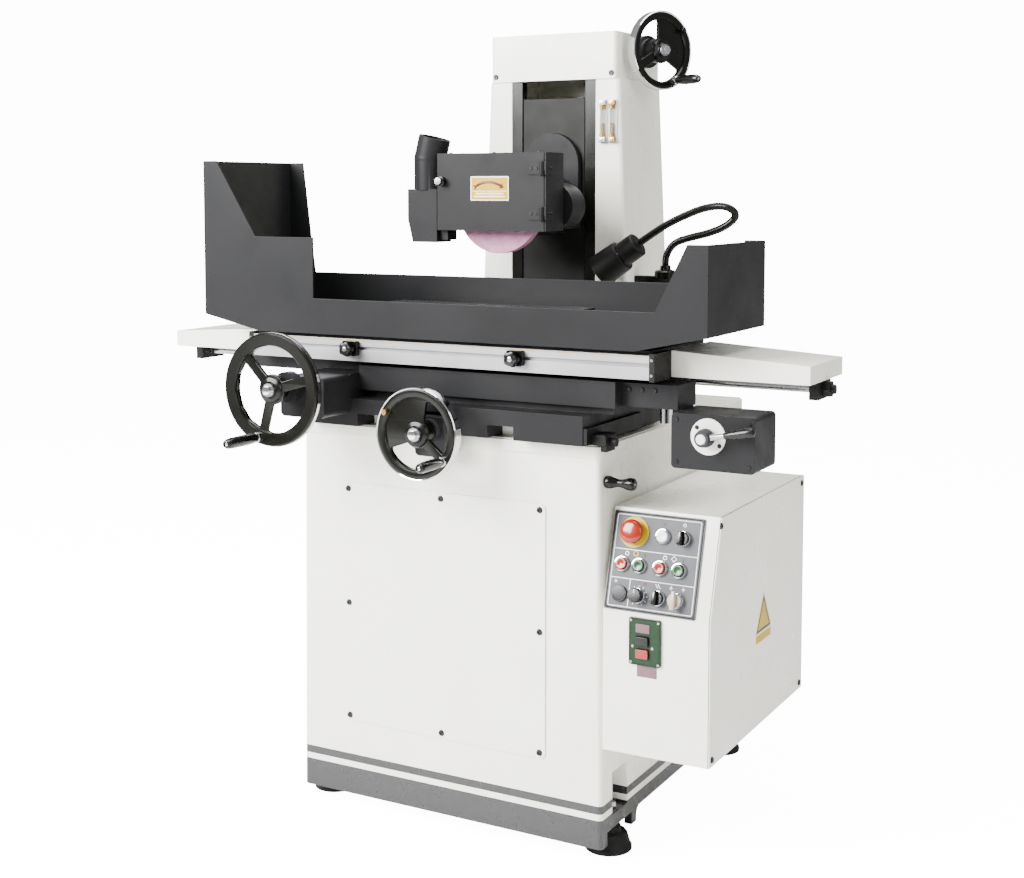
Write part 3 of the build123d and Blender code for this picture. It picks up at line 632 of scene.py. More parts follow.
def build_dial_tree():
    """Graduation marks round a drum, standing on its surface along its axis."""
    tree, given, result = shape_tree(
        "dial_marks", [("Count", "NodeSocketInt", 100), ("Radius", "NodeSocketFloat", 0.09),
                       ("Size", "NodeSocketVector", None),
                       ("Material", "NodeSocketMaterial", None)])
    make = tree.nodes.new
    join = tree.links.new
    circle_line = make("GeometryNodeMeshCircle")
    join(given.outputs["Count"], circle_line.inputs["Vertices"])
    join(given.outputs["Radius"], circle_line.inputs["Radius"])
    mark = make("GeometryNodeMeshCube")
    join(given.outputs["Size"], mark.inputs["Size"])
    where = make("GeometryNodeInputPosition")
    turn = make("FunctionNodeAlignRotationToVector")
    turn.axis = "X"
    turn.pivot_axis = "Z"
    join(where.outputs["Position"], turn.inputs["Vector"])
    place = make("GeometryNodeInstanceOnPoints")
    join(circle_line.outputs["Mesh"], place.inputs["Points"])
    join(mark.outputs["Mesh"], place.inputs["Instance"])
    join(turn.outputs["Rotation"], place.inputs["Rotation"])
    end_tree(tree, place.outputs["Instances"], given.outputs["Material"], result)
    return tree


screw_tree = build_screw_tree()
ring_tree = build_ring_tree()
strip_tree = build_strip_tree()
dial_tree = build_dial_tree()


def screws(name, places, radius, height, material, body, stands_for=()):
    """Socket screw heads at (point, facing) pairs."""
    mesh = bpy.data.meshes.new(name)
    mesh.from_pydata([tuple(point) for point, _ in places], [], [])
    facing = mesh.attributes.new("facing", "FLOAT_VECTOR", "POINT")
    for item, (point, direction) in zip(facing.data, places):
        item.vector = direction
    piece = grow(screw_tree, link(name, mesh), Radius=radius, Height=height,
                 Socket=radius * 0.45, Material=material)
    return rides(shade(piece, None), body, stands_for=stands_for)


def strip_row(name, count, start, step, size, material, body):
    """A row of equal strips on a body."""
    mesh = bpy.data.meshes.new(name)
    piece = grow(strip_tree, link(name, mesh), Count=count, Start=start, Step=step, Size=size,
                 Material=material)
    return rides(shade(piece, None), body)


# --- Places -----------------------------------------------------------------------------

FRONT = -232.5
LEAN = math.radians(16.3)
CONSOLE_FOOT = 498
SPINDLE_HEIGHT = 1252
DOOR_FACE = 179.6
KNOB_PLACE = (-112, 177.6, 1302)
SIDE_HANDLE_PLACE = (341.5, 25, 735)
DOG_KNOB_HEIGHT = 966


def at(x, depth, z):
    """A point in metres from its X, its depth behind the base front and its height in mm."""
    return Vector((x, FRONT + depth, z)) * MM


def front(x, depth, z):
    """A frame that looks towards the operator."""
    return frame_at(at(x, depth, z), -BACK, RIGHT)


def side(x, depth, z):
    """A frame that looks to the operator's right."""
    return frame_at(at(x, depth, z), RIGHT, BACK)


def top(x, depth, z):
    """A frame that looks up."""
    return frame_at(at(x, depth, z), UP, RIGHT)


def console(x, rise, height=0.0):
    """A frame on the sloping console face: X and the distance up the slope."""
    origin = at(x, rise * math.sin(LEAN) - height * math.cos(LEAN),
                CONSOLE_FOOT + rise * math.cos(LEAN) + height * math.sin(LEAN))
    return frame_at(origin, (0, -math.cos(LEAN), math.sin(LEAN)), RIGHT)


def hexagon(across):
    """The points of a hexagon by its distance across flats."""
    reach = across / math.sqrt(3)
    return [(reach * math.cos(math.pi / 3 * step), reach * math.sin(math.pi / 3 * step))
            for step in range(6)]


def printed(name, points, holes, place, material, body="base"):
    """A thin printed mark lying on a face."""
    mark = cut_plate(name, points, holes, 0.3, 0.05, place, material)
    return rides(mark, body)


def outline(name, width, height, place, material, line=1.1, corner=3.0, body="base"):
    """A printed frame line round a cell."""
    inner = rounded(width - 2 * line, height - 2 * line, corner - line)
    return printed(name, rounded(width, height, corner), [inner], place, material, body)


# --- Base and column --------------------------------------------------------------------

softened("base_casting", base_enamel, edge=3.0)
softened("front_cover", white_enamel, edge=0.8)
softened("column_casting", white_enamel, edge=1.5)
softened("column_cap", white_enamel, edge=2.0)
softened("column_ways", black_enamel, edge=0.6)
softened("elevation_bracket", cast_grey, edge=0.8)
softened("crossfeed_bearing", cast_grey, edge=1.2)

screw_places = [(at(x, -3, z), -BACK) for x in (-228, 216) for z in (197, 435, 673)]
screw_places += [(at(-6, -3, z), -BACK) for z in (197, 673)]
screw_places += [(at(x, 465, 1537), -BACK) for x in (-143, 143)]
screw_places += [(at(565, depth, z), RIGHT)
                 for depth, z in ((47, 670), (12, 242), (515, 670), (515, 242))]
screws("cover_screw_heads", screw_places, 0.0065, 0.003, screw_black, "base",
       stands_for=("cover_screws",))

foot_profile = [(0, 0), (46, 0), (46, 7), (43, 11), (37, 31), (34, 34), (25, 35), (24, 37),
                (24, 45), (22, 48), (9, 48)]
thread = [(8 - 0.9 * (step % 2), 48 + 1.25 * step) for step in range(26)]
for x in (-325, 325):
    for depth in (82, 680):
        foot = turned("foot", foot_profile + [(0, 48)], top(x, depth, 0), rubber_black)
        rides(foot, "base", stands_for=("levelling_feet",))
        stud = turned("foot_stud", thread + [(8, 82), (8, 139), (7, 140), (0, 140)],
                      top(x, depth, 0), bright_steel, segments=24)
        rides(stud, "base")
        nut = cut_plate("foot_nut", hexagon(26), [], 13, 0.8, top(x, depth, 80.2), bright_steel)
        rides(nut, "base")

for x in (124, 147):
    plate = cut_plate("gauge_back", rounded(19, 96, 4), [], 4, 0.8, front(x, 469, 1433),
                      white_plastic)
    rides(plate, "base", stands_for=("oil_gauges",))
    for lift in (-40, 40):
        cap = cut_plate("gauge_cap", rounded(16, 12, 2.5), [], 8, 1.0,
                        front(x, 465, 1433 + lift), bright_steel if x < 130 else brass)
        rides(cap, "base")
        dot = turned("gauge_screw", [(0, 0), (3.4, 0), (3.4, 1), (2.8, 1.6), (0, 1.8)],
                     front(x, 457, 1433 + lift), bright_steel, segments=20)
        rides(dot, "base")
    for lift in (-30, 30):
        nut = turned("gauge_nut", [(0, 0), (6, 0), (6, 7), (0, 7)], top(x, 461, 1429.5 + lift),
                     brass, segments=28)
        rides(nut, "base")
    tube = turned("gauge_tube", [(0, 0), (5, 0), (5, 54), (0, 54)], top(x, 461, 1406),
                  gauge_glass, segments=28)
    rides(tube, "base")
    level_line = turned("gauge_oil", [(0, 0), (3.4, 0), (3.4, 22), (0, 22)],
                        top(x, 461, 1406.5), oil, segments=20)
    rides(level_line, "base")
    for step in range(7):
        printed("gauge_tick", rounded(2.6, 0.7, 0.2), [],
                front(x - 8, 465, 1412 + 7 * step), matt_black)

# --- Cabinet and console ----------------------------------------------------------------

softened("cabinet", white_enamel, edge=1.0)
softened("cabinet_cover", white_enamel, edge=0.8)


def on_starter(centre):
    """Faces of the starter plate on the cabinet's upright front."""
    return centre.z < 0.4955


softened("control_panel", console_grey, edge=0.5, extra=((on_starter, starter_green),))


PANEL = 2.5
outline("panel_border", 180, 181, console(443, 95, PANEL), matt_black, line=2.2, corner=4)
outline("panel_frame", 170, 172, console(443, 95, PANEL), white_print, line=1.4)
for x, rise, width, height in ((443, 62, 169, 1.4), (443, 116, 169, 1.4), (399, 35.5, 1.4, 53)):
    printed("panel_rule", rounded(width, height, 0.5), [], console(x, rise, PANEL), white_print)
screws("panel_screws", [(console(x, rise, PANEL).translation, console(x, rise).to_3x3().col[2])
                        for x in (355.5, 530.5) for rise in (7, 183)],
       0.0032, 0.0016, screw_black, "base")

for x, rise in ((455, 147), (379, 88), (414, 88), (456, 88), (494, 88), (495, 147), (418, 33),
                (458, 33), (495, 33)):
    bezel = ring_band("control_bezel", [(11.45, 0), (11.45, 5.4), (12.2, 6.2),
                                        (14.0, 5.8), (15.2, 3.4), (15.4, 0)],
                      console(x, rise, PANEL), chrome, segments=40)
    rides(bezel, "base")
yellow_disc = ring_band("stop_disc", [(5, 0), (5, 2.2), (29, 2.2), (29.6, 1.4), (29.6, 0)],
                        console(396, 149, PANEL), yellow_print)
rides(yellow_disc, "base")
plug = turned("console_plug", [(0, 0), (15.6, 0), (15.6, 4), (14, 6.4), (0, 7)],
              console(380, 33, PANEL), black_plastic)
rides(plug, "base")


mushroom = [(0, -8), (4, -8), (4, 5), (14, 5), (14, 13), (20.5, 14), (22.6, 16.5), (23, 19),
            (22.2, 21.8), (19, 24.8), (12, 26.4), (0, 27)]
rides(turned("stop_mushroom", mushroom, console(396, 149), red_plastic), "emergency_stop",
      stands_for=("emergency_stop",))
button_profile = [(0, -8), (4, -8), (4, 6), (10.9, 6), (11, 10.6), (10, 12.2), (8, 12.4),
                  (4, 11.6), (0, 11.4)]
for name, x, rise, material in (("lamp_button", 455, 147, white_plastic),
                                ("hydraulic_stop", 379, 88, red_plastic),
                                ("hydraulic_start", 414, 88, green_plastic),
                                ("spindle_stop", 456, 88, red_plastic),
                                ("spindle_start", 494, 88, green_plastic)):
    rides(turned(name + "_cap", button_profile, console(x, rise), material, segments=36), name,
          stands_for=(name,))


def finger_bar(width, length):
    """The outline of a selector's finger bar, narrower at its pointer end."""
    half = width / 2
    return [(-half, -length / 2), (half, -length / 2), (half * 1.05, 0), (half * 0.6, length / 2),
            (-half * 0.6, length / 2), (-half * 1.05, 0)]


for name, x, rise, material, length in (("mode_selector", 495, 147, black_plastic, 25),
                                        ("time_knob", 458, 33, black_plastic, 25),
                                        ("beige_selector", 495, 33, beige_plastic, 34)):
    boss = [(0, -8), (4, -8), (4, 3.2), (10.9, 3.2), (10.9, 11), (13.2, 11), (13.6, 12),
            (13.6, 15), (12.6, 16.4), (0, 16.6)]
    rides(turned(name + "_boss", boss, console(x, rise), material, segments=40), name,
          stands_for=(name,))
    rides(cut_plate(name + "_bar", finger_bar(9, length), [], 9, 1.4, console(x, rise, 16),
                    material), name)
    rides(cut_plate(name + "_mark", rounded(1.2, length * 0.35, 0.5, (0, length * 0.28)), [],
                    0.3, 0.05, console(x, rise, 25), white_print), name)

knurled = [(0, -8), (4, -8), (4, 3.2), (10.9, 3.2), (10.9, 11), (13.6, 11.2), (13.4, 23),
           (12.2, 24.6), (0, 25)]
rides(turned("speed_knob_body", knurled, console(418, 33), black_plastic, segments=96,
             lobes=lambda angle: 1 + 0.022 * math.cos(24 * angle)), "speed_knob",
      stands_for=("speed_knob",))
rides(cut_plate("speed_knob_mark", rounded(1.2, 7, 0.5, (0, 7.5)), [], 0.3, 0.05,
                console(418, 33, 24.9), white_print), "speed_knob")

for count in range(11):
    angle = math.radians(-60 + 30 * count)
    tick = console(418, 33, PANEL) @ Matrix.Rotation(angle - math.pi / 2, 4, "Z")
    printed("speed_tick", rounded(0.9, 3.0, 0.3, (0, 17.8)), [], tick, white_print)
rings = [(455, 170, 3.2, red_print), (495, 172, 3.2, white_print), (386, 108.5, 4.2, white_print),
         (404, 110, 5.6, yellow_print), (463, 108.5, 4.2, white_print),
         (370, 55, 2.6, white_print), (430, 56, 3.0, red_print)]
for x, rise, radius, material in rings:
    printed("symbol_ring", circle(radius, 28), [circle(radius * 0.62, 28)],
            console(x, rise, PANEL), material)
for x, rise in ((423, 108), (500, 107)):
    printed("symbol_line", rounded(1.6, 8, 0.6), [], console(x, rise, PANEL), red_print)
printed("symbol_diamond", [(0, -6), (6, 0), (0, 6), (-6, 0)],
        [[(0, -4.4), (4.4, 0), (0, 4.4), (-4.4, 0)]], console(481, 108, PANEL), white_print)
SLANT = 0.6
for x in (453, 458):
    slant = console(x, 55, PANEL) @ Matrix.Rotation(SLANT, 4, "Z")
    printed("symbol_slant", rounded(1.3, 10, 0.5), [], slant, white_print)
for x in (482, 506):
    printed("symbol_stroke", rounded(1.1, 8, 0.4), [], console(x, 55, PANEL), white_print)
    printed("symbol_bar", rounded(7, 1.1, 0.4), [], console(x, 55, PANEL), white_print)

outline("starter_border", 60, 85, front(437, -5, 447.5), matt_black, line=0.8, corner=3)
screws("starter_screws", [(at(x, -5, z), -BACK) for x in (409.5, 464.5) for z in (408, 487)],
       0.0028, 0.0014, bright_steel, "base")
window = cut_plate("starter_window", rounded(28, 17, 1.5), [], 0.8, 0.2, front(433, -5, 473),
                   pink_print)
rides(window, "base")
outline("window_edge", 30, 19, front(433, -5, 473), matt_black, line=1.4, corner=2)
for x in (413.5, 453):
    rides(turned("starter_stud", [(0, 0), (2.6, 0), (2.6, 1.4), (1.8, 2.2), (0, 2.4)],
                 front(x, -5, 438), beige_plastic, segments=20), "base")
rides(cut_plate("starter_label", rounded(40, 22, 1), [], 0.8, 0.2, front(440, 0, 391),
                pink_print), "base")
for name, z, material in (("on_button", 449.5, black_plastic), ("off_button", 425.5, red_plastic)):
    outline("starter_bezel", 28, 20, front(433, -5, z), matt_black, line=1.5, corner=2.5)
    key = cut_plate(name + "_key", rounded(24.6, 16.6, 2), [], 5, 0.9, front(433, -6, z), material)
    rides(key, name, stands_for=(name,))

printed("cabinet_mark", [(-44, 0), (44, 0), (0, 76)], [], side(565, 286.5, 414), yellow_print)
printed("cabinet_mark_edge", [(-40, 2.5), (40, 2.5), (0, 71)], [[(-33, 6.5), (33, 6.5), (0, 63)]],
        side(565.2, 286.5, 414), black_plastic)
printed("cabinet_mark_base", rounded(86, 16, 1), [], side(565, 286.5, 403), yellow_print)
seam_profile = [(0, 229), (0, 498), (54.4, 684), (532, 684), (532, 229)]
for start, end in zip(seam_profile, seam_profile[1:]):
    low = at(561.8, *start)
    high = at(561.8, *end)
    along = high - low
    place = frame_at((low + high) / 2, RIGHT, along)
    seam = cut_plate("cabinet_seam", rounded(along.length / MM, 1.2, 0.2), [], 0.9, 0.05, place,
                     matt_black)
    rides(seam, "base")

spool = [(0, 0), (9, 0), (11.6, 2), (12.3, 5), (12, 11), (9.6, 19), (7.7, 26), (7.5, 31),
         (9, 39), (11.6, 47), (12.3, 53), (11.6, 59), (9, 61.6), (4.2, 62), (3.6, 60), (0, 60)]
rides(turned("side_handle_grip", spool, side(*SIDE_HANDLE_PLACE), black_enamel), "side_handle",
      stands_for=("side_handle",))
rides(turned("side_handle_screw", [(0, 60), (3.2, 60), (2.8, 61.2), (0, 61.4)],
             side(*SIDE_HANDLE_PLACE), bright_steel, segments=24), "side_handle")

# --- Work lamp --------------------------------------------------------------------------

lamp_route = [(250, 520, 1112), (250, 520, 1142), (272, 512, 1170), (314, 500, 1182),
              (362, 486, 1192), (408, 472, 1208), (440, 456, 1232), (420, 440, 1252),
              (376, 430, 1248), (332, 424, 1230), (290, 422, 1210), (233, 425, 1173.8)]


def smooth_route(points):
    """A rounded path near points, in metres, with its corners cut three times."""
    path = [at(*point) for point in points]
    for _ in range(3):
        cut = [path[0]]
        for start, end in zip(path, path[1:]):
            cut += [start.lerp(end, 0.25), start.lerp(end, 0.75)]
        path = cut + [path[-1]]
    return path


def path_curve(name, path, radius):
    """A round bar along a path."""
    curve = bpy.data.curves.new(name, "CURVE")
    curve.dimensions = "3D"
    curve.bevel_depth = radius
    curve.bevel_resolution = 4
    curve.use_fill_caps = True
    line = curve.splines.new("POLY")
    line.points.add(len(path) - 1)
    for point, place in zip(line.points, path):
        point.co = (*place, 1)
    return link(name, curve)


neck_path = smooth_route(lamp_route)
rings = grow(ring_tree, path_curve("lamp_hose", neck_path, 0.0), Pitch=0.0026, Radius=0.0066,
             Wire=0.0015, Material=black_enamel)
rides(shade(rings, None), "base", stands_for=("lamp_stalk",))
rides(shade(baked(path_curve("lamp_hose_core", neck_path, 0.0074)), black_enamel), "base")
lamp_foot = [(0, 0), (24, 0), (24, 12), (21, 15), (12, 17), (11, 26), (0, 26)]
rides(turned("lamp_foot", lamp_foot, top(250, 520, 1094), black_enamel), "base")
rides(cut_plate("lamp_bracket", rounded(82, 24, 3), [], 14, 1.0, top(221, 520, 1082),
                matt_black), "base")
lamp_place = frame_at(at(227.5, 425, 1170), (-60, 0, -41.3), BACK)
shade_profile = [(0, -3), (8, -3), (9, 0), (24, 1), (26.6, 3), (27, 6), (27, 41), (28, 43),
                 (33, 45), (34.4, 48), (36.6, 104), (36.6, 107), (35, 107.6), (34, 106),
                 (32, 92), (22, 60), (0, 58)]
rides(turned("lamp_shade", shade_profile, lamp_place, matt_black), "base",
      stands_for=("lamp_head",))
rides(turned("lamp_reflector", [(0, 60), (21, 61), (32.4, 93), (31.6, 93), (20.4, 62.5),
                                (0, 61.5)], lamp_place, chrome), "base")
rides(turned("lamp_lens", [(0, 96), (32.4, 96), (32.6, 98.6), (0, 101)], lamp_place,
             clear_glass("lamp_glass", (0.95, 0.95, 0.95))), "base")
rides(ring_band("lamp_joint", [(27, 40.4), (28.2, 41), (28.2, 43.4), (27, 44)], lamp_place,
                black_enamel), "base")

# --- Saddle -----------------------------------------------------------------------------


def on_fitting(centre):
    """Faces of the small round fitting under the arm."""
    return centre.x > 0.4205 and centre.x < 0.4435 and centre.z < 0.8815


softened("saddle_casting", grey_enamel, edge=1.5, extra=((on_fitting, bright_steel),))
softened("handwheel_gearbox", grey_enamel, edge=1.5)
softened("stop_rail", matt_black, edge=0.8)
LEVER = at(561, -10, 843)


def on_lever_disc(centre):
    """Faces of the round cover behind the lever."""
    offset = centre - LEVER
    return centre.y < LEVER.y - 0.0002 and math.hypot(offset.x, offset.z) < 0.034


softened("lever_box", grey_enamel, edge=1.0, extra=((on_lever_disc, white_enamel),))
softened("table_cylinder", bright_steel, edge=0.4)
screws("lever_disc_screws",
       [(at(561 + x, -13, 843 + z), -BACK) for x, z in ((-21, 16), (22, -15))],
       0.0042, 0.002, screw_black, "saddle")
screws("lever_box_screws", [(at(x, -10, z), -BACK) for x in (500, 638) for z in (793, 870)],
       0.004, 0.002, screw_black, "saddle")
screws("arm_screws", [(at(x, 20, z), -BACK) for x, z in ((392, 915), (418, 915), (444, 915))],
       0.0045, 0.003, screw_black, "saddle")
hub = [(0, -60), (7, -60), (7, 0), (13, 0), (17, 2), (17, 10), (15, 14), (15, 22), (12.6, 26),
       (0, 26)]
rides(turned("lever_hub", hub, front(561, -20, 843), cast_grey), "table_lever",
      stands_for=("table_lever",))
rides(turned("lever_cap", [(0, 26), (9, 26), (9, 28), (7.6, 29.6), (0, 30)],
             front(561, -20, 843), white_plastic, segments=32), "table_lever")
LEVER_TILT = math.radians(11)
lever_line = frame_at(at(561, -34, 843), (math.cos(LEVER_TILT), 0, math.sin(LEVER_TILT)), BACK)
rides(turned("lever_stub", [(0, 0), (6, 0), (6, 16), (5, 20), (5, 48), (0, 48)], lever_line,
             bright_steel, segments=28), "table_lever")
rides(turned("lever_grip", [(0, 40), (5.6, 40), (6.6, 42), (7.4, 56), (9.4, 80), (9.6, 88),
                            (8, 94.5), (4.4, 97), (0, 97.5)], lever_line, black_plastic,
             segments=36), "table_lever")

# --- Table ------------------------------------------------------------------------------

softened("table_casting", grey_enamel, edge=1.0)
softened("way_covers", white_enamel, edge=0.8)


def on_rod_end(centre):
    """Faces of the brackets and nuts at the rod's ends."""
    return abs(centre.x) > 0.689


softened("piston_rod", bright_steel, edge=0.5, extra=((on_rod_end, matt_black),))


def on_end_cap(centre):
    """Faces of the bar's dark end caps."""
    return abs(centre.x) > 0.4512


softened("front_bar", brushed_bar, edge=0.5, extra=((on_end_cap, matt_black),))
printed("bar_line", rounded(898, 1.2, 0.5), [], front(0, -24, 981.5), yellow_print, "table")
screws("bar_end_screws", [(at(x, -26, z), -BACK) for x in (-456.5, 456.5) for z in (948, 976)],
       0.0034, 0.002, bright_steel, "table")
softened("splash_tray", dark_sheet, edge=0.8)
softened("magnetic_chuck", chuck_steel, edge=0.6)
strip_row("chuck_poles", 45, at(-220, 136, 1048.1), (0.010, 0, 0), (0.0016, 0.142, 0.0004),
          cast_grey, "table")
for x in (-235, 235):
    rides(turned("chuck_clamp", [(0, 0), (7, 0), (7, 6), (6, 7), (3, 7), (3, 4), (0, 4)],
                 top(x, 136, 1012), screw_black, segments=28), "table")

for name, x in (("left", -200), ("right", 178)):
    softened("dog_" + name, black_enamel, edge=0.8)
    knob = [(0, -20.5), (5, -20.5), (5, -4), (8, -4), (8, 0), (13.2, 0), (14.6, 1.6), (14.6, 9),
            (13.2, 12), (9, 13), (0, 13)]
    rides(turned("star_knob_" + name, knob, front(x, -41, DOG_KNOB_HEIGHT), black_plastic,
                 segments=80, lobes=lambda angle: 1 + 0.09 * math.cos(5 * angle)), "dog_knob_" + name,
          stands_for=("dog_knob_" + name,))
    rides(turned("star_cap_" + name, [(0, 12.8), (5, 12.8), (5, 13.3), (4, 13.9), (0, 14)],
                 front(x, -41, DOG_KNOB_HEIGHT), bright_steel, segments=28), "dog_knob_" + name)

# --- Wheelhead --------------------------------------------------------------------------

softened("wheelhead_casting", grey_enamel, edge=1.5)
softened("head_plate", matt_black, edge=1.0)
softened("spindle_motor", cast_grey, edge=1.5)
softened("wheel_guard", grey_enamel, edge=1.0)
softened("dust_chute", grey_enamel, edge=0.8)
BEND_RADIUS = 34.3
bend = [(27, -16), (27, 16)] + [(math.sqrt(BEND_RADIUS ** 2 - rise ** 2), rise)
                                for rise in range(16, -17, -4)]
rides(ring_band("chute_bend", bend, frame_at(at(-162, 214, 1350), (0.13, 0, 1), (0, 1, 0)),
                grey_enamel), "wheelhead")
softened("guard_door", grey_enamel, edge=0.6)
softened("spindle", bright_steel, edge=0.6)
softened("elevation_screw", bright_steel, edge=0.4)
wheel = [(15.8, 0), (99, 0), (100, 1), (100, 19), (99, 20), (15.8, 20)]
rides(ring_band("wheel_bond", wheel, front(0, 241, SPINDLE_HEIGHT), abrasive_pink,
                segments=120), "spindle", stands_for=("grinding_wheel",))
rides(ring_band("wheel_blotter", [(42, 0), (42, 0.6), (52, 0.6), (52, 0)],
                front(0, 221, SPINDLE_HEIGHT), white_print), "spindle")
knob = [(0, -10), (4, -10), (4, -2), (10, -2), (10, 5.6), (8.6, 6.4), (8, 7), (8, 17), (7, 18),
        (0, 18.4)]
rides(turned("guard_knob_body", knob[:6] + [(0, 6.4)], front(*KNOB_PLACE), black_plastic,
             segments=40), "guard_knob")
rides(turned("guard_knob_cap", [(0, 6)] + [(8, 6.2), (8, 16.6), (7, 17.8), (0, 18.2)],
             front(*KNOB_PLACE), bright_steel, segments=96,
             lobes=lambda angle: 1 + 0.03 * math.cos(24 * angle)), "guard_knob",
      stands_for=("guard_knob",))
screws("guard_screws", [(at(x, depth, 1360), UP) for x in (-100, 4, 110) for depth in (196, 246)],
       0.004, 0.0022, screw_black, "wheelhead")
screws("hinge_screws", [(at(136, depth, z), RIGHT) for depth in (188, 199)
                        for z in (1236, 1328)], 0.0034, 0.0016, screw_black, "wheelhead")
screws("leaf_screws", [(at(x, 177, z), -BACK) for x in (100, 112) for z in (1236, 1328)],
       0.0034, 0.0016, screw_black, "guard_door")


def arc_arrow(radius, width, start, end, head):
    """The outline of a curved arrow, clockwise from its start angle in degrees."""
    steps = 18
    angles = [math.radians(start + (end - start) * step / steps) for step in range(steps + 1)]
    outer = [((radius + width / 2) * math.cos(a), (radius + width / 2) * math.sin(a))
             for a in angles]
    inner = [((radius - width / 2) * math.cos(a), (radius - width / 2) * math.sin(a))
             for a in reversed(angles)]
    tip_angle = angles[-1] - math.radians(head)
    tip = [((radius + width * 1.2) * math.cos(angles[-1]),
            (radius + width * 1.2) * math.sin(angles[-1])),
           (radius * math.cos(tip_angle), radius * math.sin(tip_angle)),
           ((radius - width * 1.2) * math.cos(angles[-1]),
            (radius - width * 1.2) * math.sin(angles[-1]))]
    return outer + tip + inner


printed("guard_label_edge", rounded(90, 50, 2), [], front(2, 180, 1287), white_print,
        "guard_door")
printed("guard_label", rounded(85, 45, 1.5), [], front(2, 179.8, 1287), yellow_print,
        "guard_door")
printed("guard_arrow", arc_arrow(60, 5.5, 118, 62, 9), [], front(0, DOOR_FACE, 1240), red_print,
        "guard_door")
printed("guard_fletch", [(-9, -6), (4, 0), (-9, 6), (-5, 0)], [],
        front(-28, DOOR_FACE, 1292) @ Matrix.Rotation(0.45, 4, "Z"), red_print, "guard_door")
printed("guard_rule", rounded(82, 1.2, 0.4), [], front(2, DOOR_FACE, 1281.5), white_print,
        "guard_door")
for count, width in enumerate((66, 74)):
    printed("guard_line", rounded(width, 2.6, 0.6), [], front(2, DOOR_FACE, 1276.5 - 6 * count),
            white_print, "guard_door")

# --- Handwheels -------------------------------------------------------------------------

def gap(inner, outer, start, end, scallops=0):
    """The outline of an opening between two spokes; scallops waves its outer edge."""
    steps = 48
    inset = 10
    points = []
    span = math.radians(end - start)
    first = math.radians(start)
    for step in range(steps + 1):
        share = step / steps
        wave = 0.045 * outer * abs(math.sin(math.pi * scallops * share)) if scallops else 0
        lead = math.asin(inset / outer)
        angle = first + lead + (span - 2 * lead) * share
        ease = 4 * (1 - min(1, min(share, 1 - share) * 8)) ** 2
        reach = outer - wave - ease
        points.append((reach * math.cos(angle), reach * math.sin(angle)))
    for step in range(12, -1, -1):
        share = step / 12
        lead = math.asin(inset / inner)
        angle = first + lead + (span - 2 * lead) * share
        points.append((inner * math.cos(angle), inner * math.sin(angle)))
    return points


def handwheel(node, place, radius, face, gaps, shaft, rim, drum=None):
    """A handwheel: its web with openings, its rim, its hub with a nut, and its shaft."""
    web = cut_plate(node + "_web", circle(radius - 3, 96), gaps, 8, 1.4,
                    place @ Matrix.Translation((0, 0, -4 * MM)), face)
    rides(web, node, stands_for=(node,))
    rides(ring_band(node + "_rim", rim, place, face, segments=96), node)
    if drum:
        rides(ring_band(node + "_drum", drum, place, chrome, segments=96), node)
        mark = bpy.data.meshes.new(node + "_marks")
        marks = grow(dial_tree, link(node + "_marks", mark), Count=100, Radius=radius * MM,
                     Size=(0.0004, 0.0006, 0.005), Material=black_plastic)
        marks.data.transform(place @ Matrix.Translation((0, 0, -6 * MM)))
        rides(shade(marks, None), node)
    hub_profile = [(0, -20), (24, -20), (26, -18), (26, 5), (24, 8), (17, 10), (16, 13), (15, 14),
                   (0, 14)]
    rides(turned(node + "_hub", hub_profile, place, face), node)
    nut_place = place @ Matrix.Translation((0, 0, 14 * MM))
    rides(ring_band(node + "_washer", [(6, 0), (6, 1.6), (13, 1.6), (13.6, 0)], nut_place,
                    bright_steel, segments=40), node)
    rides(cut_plate(node + "_nut", hexagon(17), [], 7, 0.8,
                    nut_place @ Matrix.Translation((0, 0, 1.5 * MM)), chrome), node)
    rides(turned(node + "_shaft", [(0, -shaft), (10, -shaft), (10, -19), (0, -19)], place,
                 turned_steel, segments=40), node)


def crank_grip(node, place, length, thick):
    """A turning grip: a chrome collar, a waisted body and the screw in its end."""
    rides(turned(node + "_pin", [(0, -1), (6, -1), (6, 14), (0, 14)], place, bright_steel,
                 segments=28), node)
    rides(turned(node + "_collar", [(0, 9), (thick - 1.5, 9), (thick - 1, 10), (thick - 1, 15),
                                    (thick - 2, 16), (0, 16)], place, chrome, segments=40), node)
    top_end = 14 + length - thick + (thick - 2)
    body = [(0, 15.5), (thick - 3, 15.5), (thick - 2.2, 18), (thick - 0.6, 30),
            (thick, 14 + length * 0.4), (thick - 0.4, top_end - 16), (thick - 1.6, top_end - 6),
            (thick - 4, top_end - 1), (5.2, top_end), (4.6, top_end - 1.2), (4.4, top_end - 5),
            (0, top_end - 5)]
    rides(turned(node + "_body", body, place, black_plastic, segments=48), node,
          stands_for=(node,))
    rides(turned(node + "_screw", [(0, top_end - 5), (3.6, top_end - 5), (3.6, top_end - 2.6),
                                   (2, top_end - 2.2), (2, top_end - 3.6), (0, top_end - 3.6)],
                 place, chrome, segments=24), node)


def on_rim(place, reach, degrees):
    """A frame on a wheel's rim at an angle, parallel to the wheel's own frame."""
    angle = math.radians(degrees)
    offset = Vector((math.cos(angle), math.sin(angle), 0)) * reach * MM
    return place @ Matrix.Translation(offset)


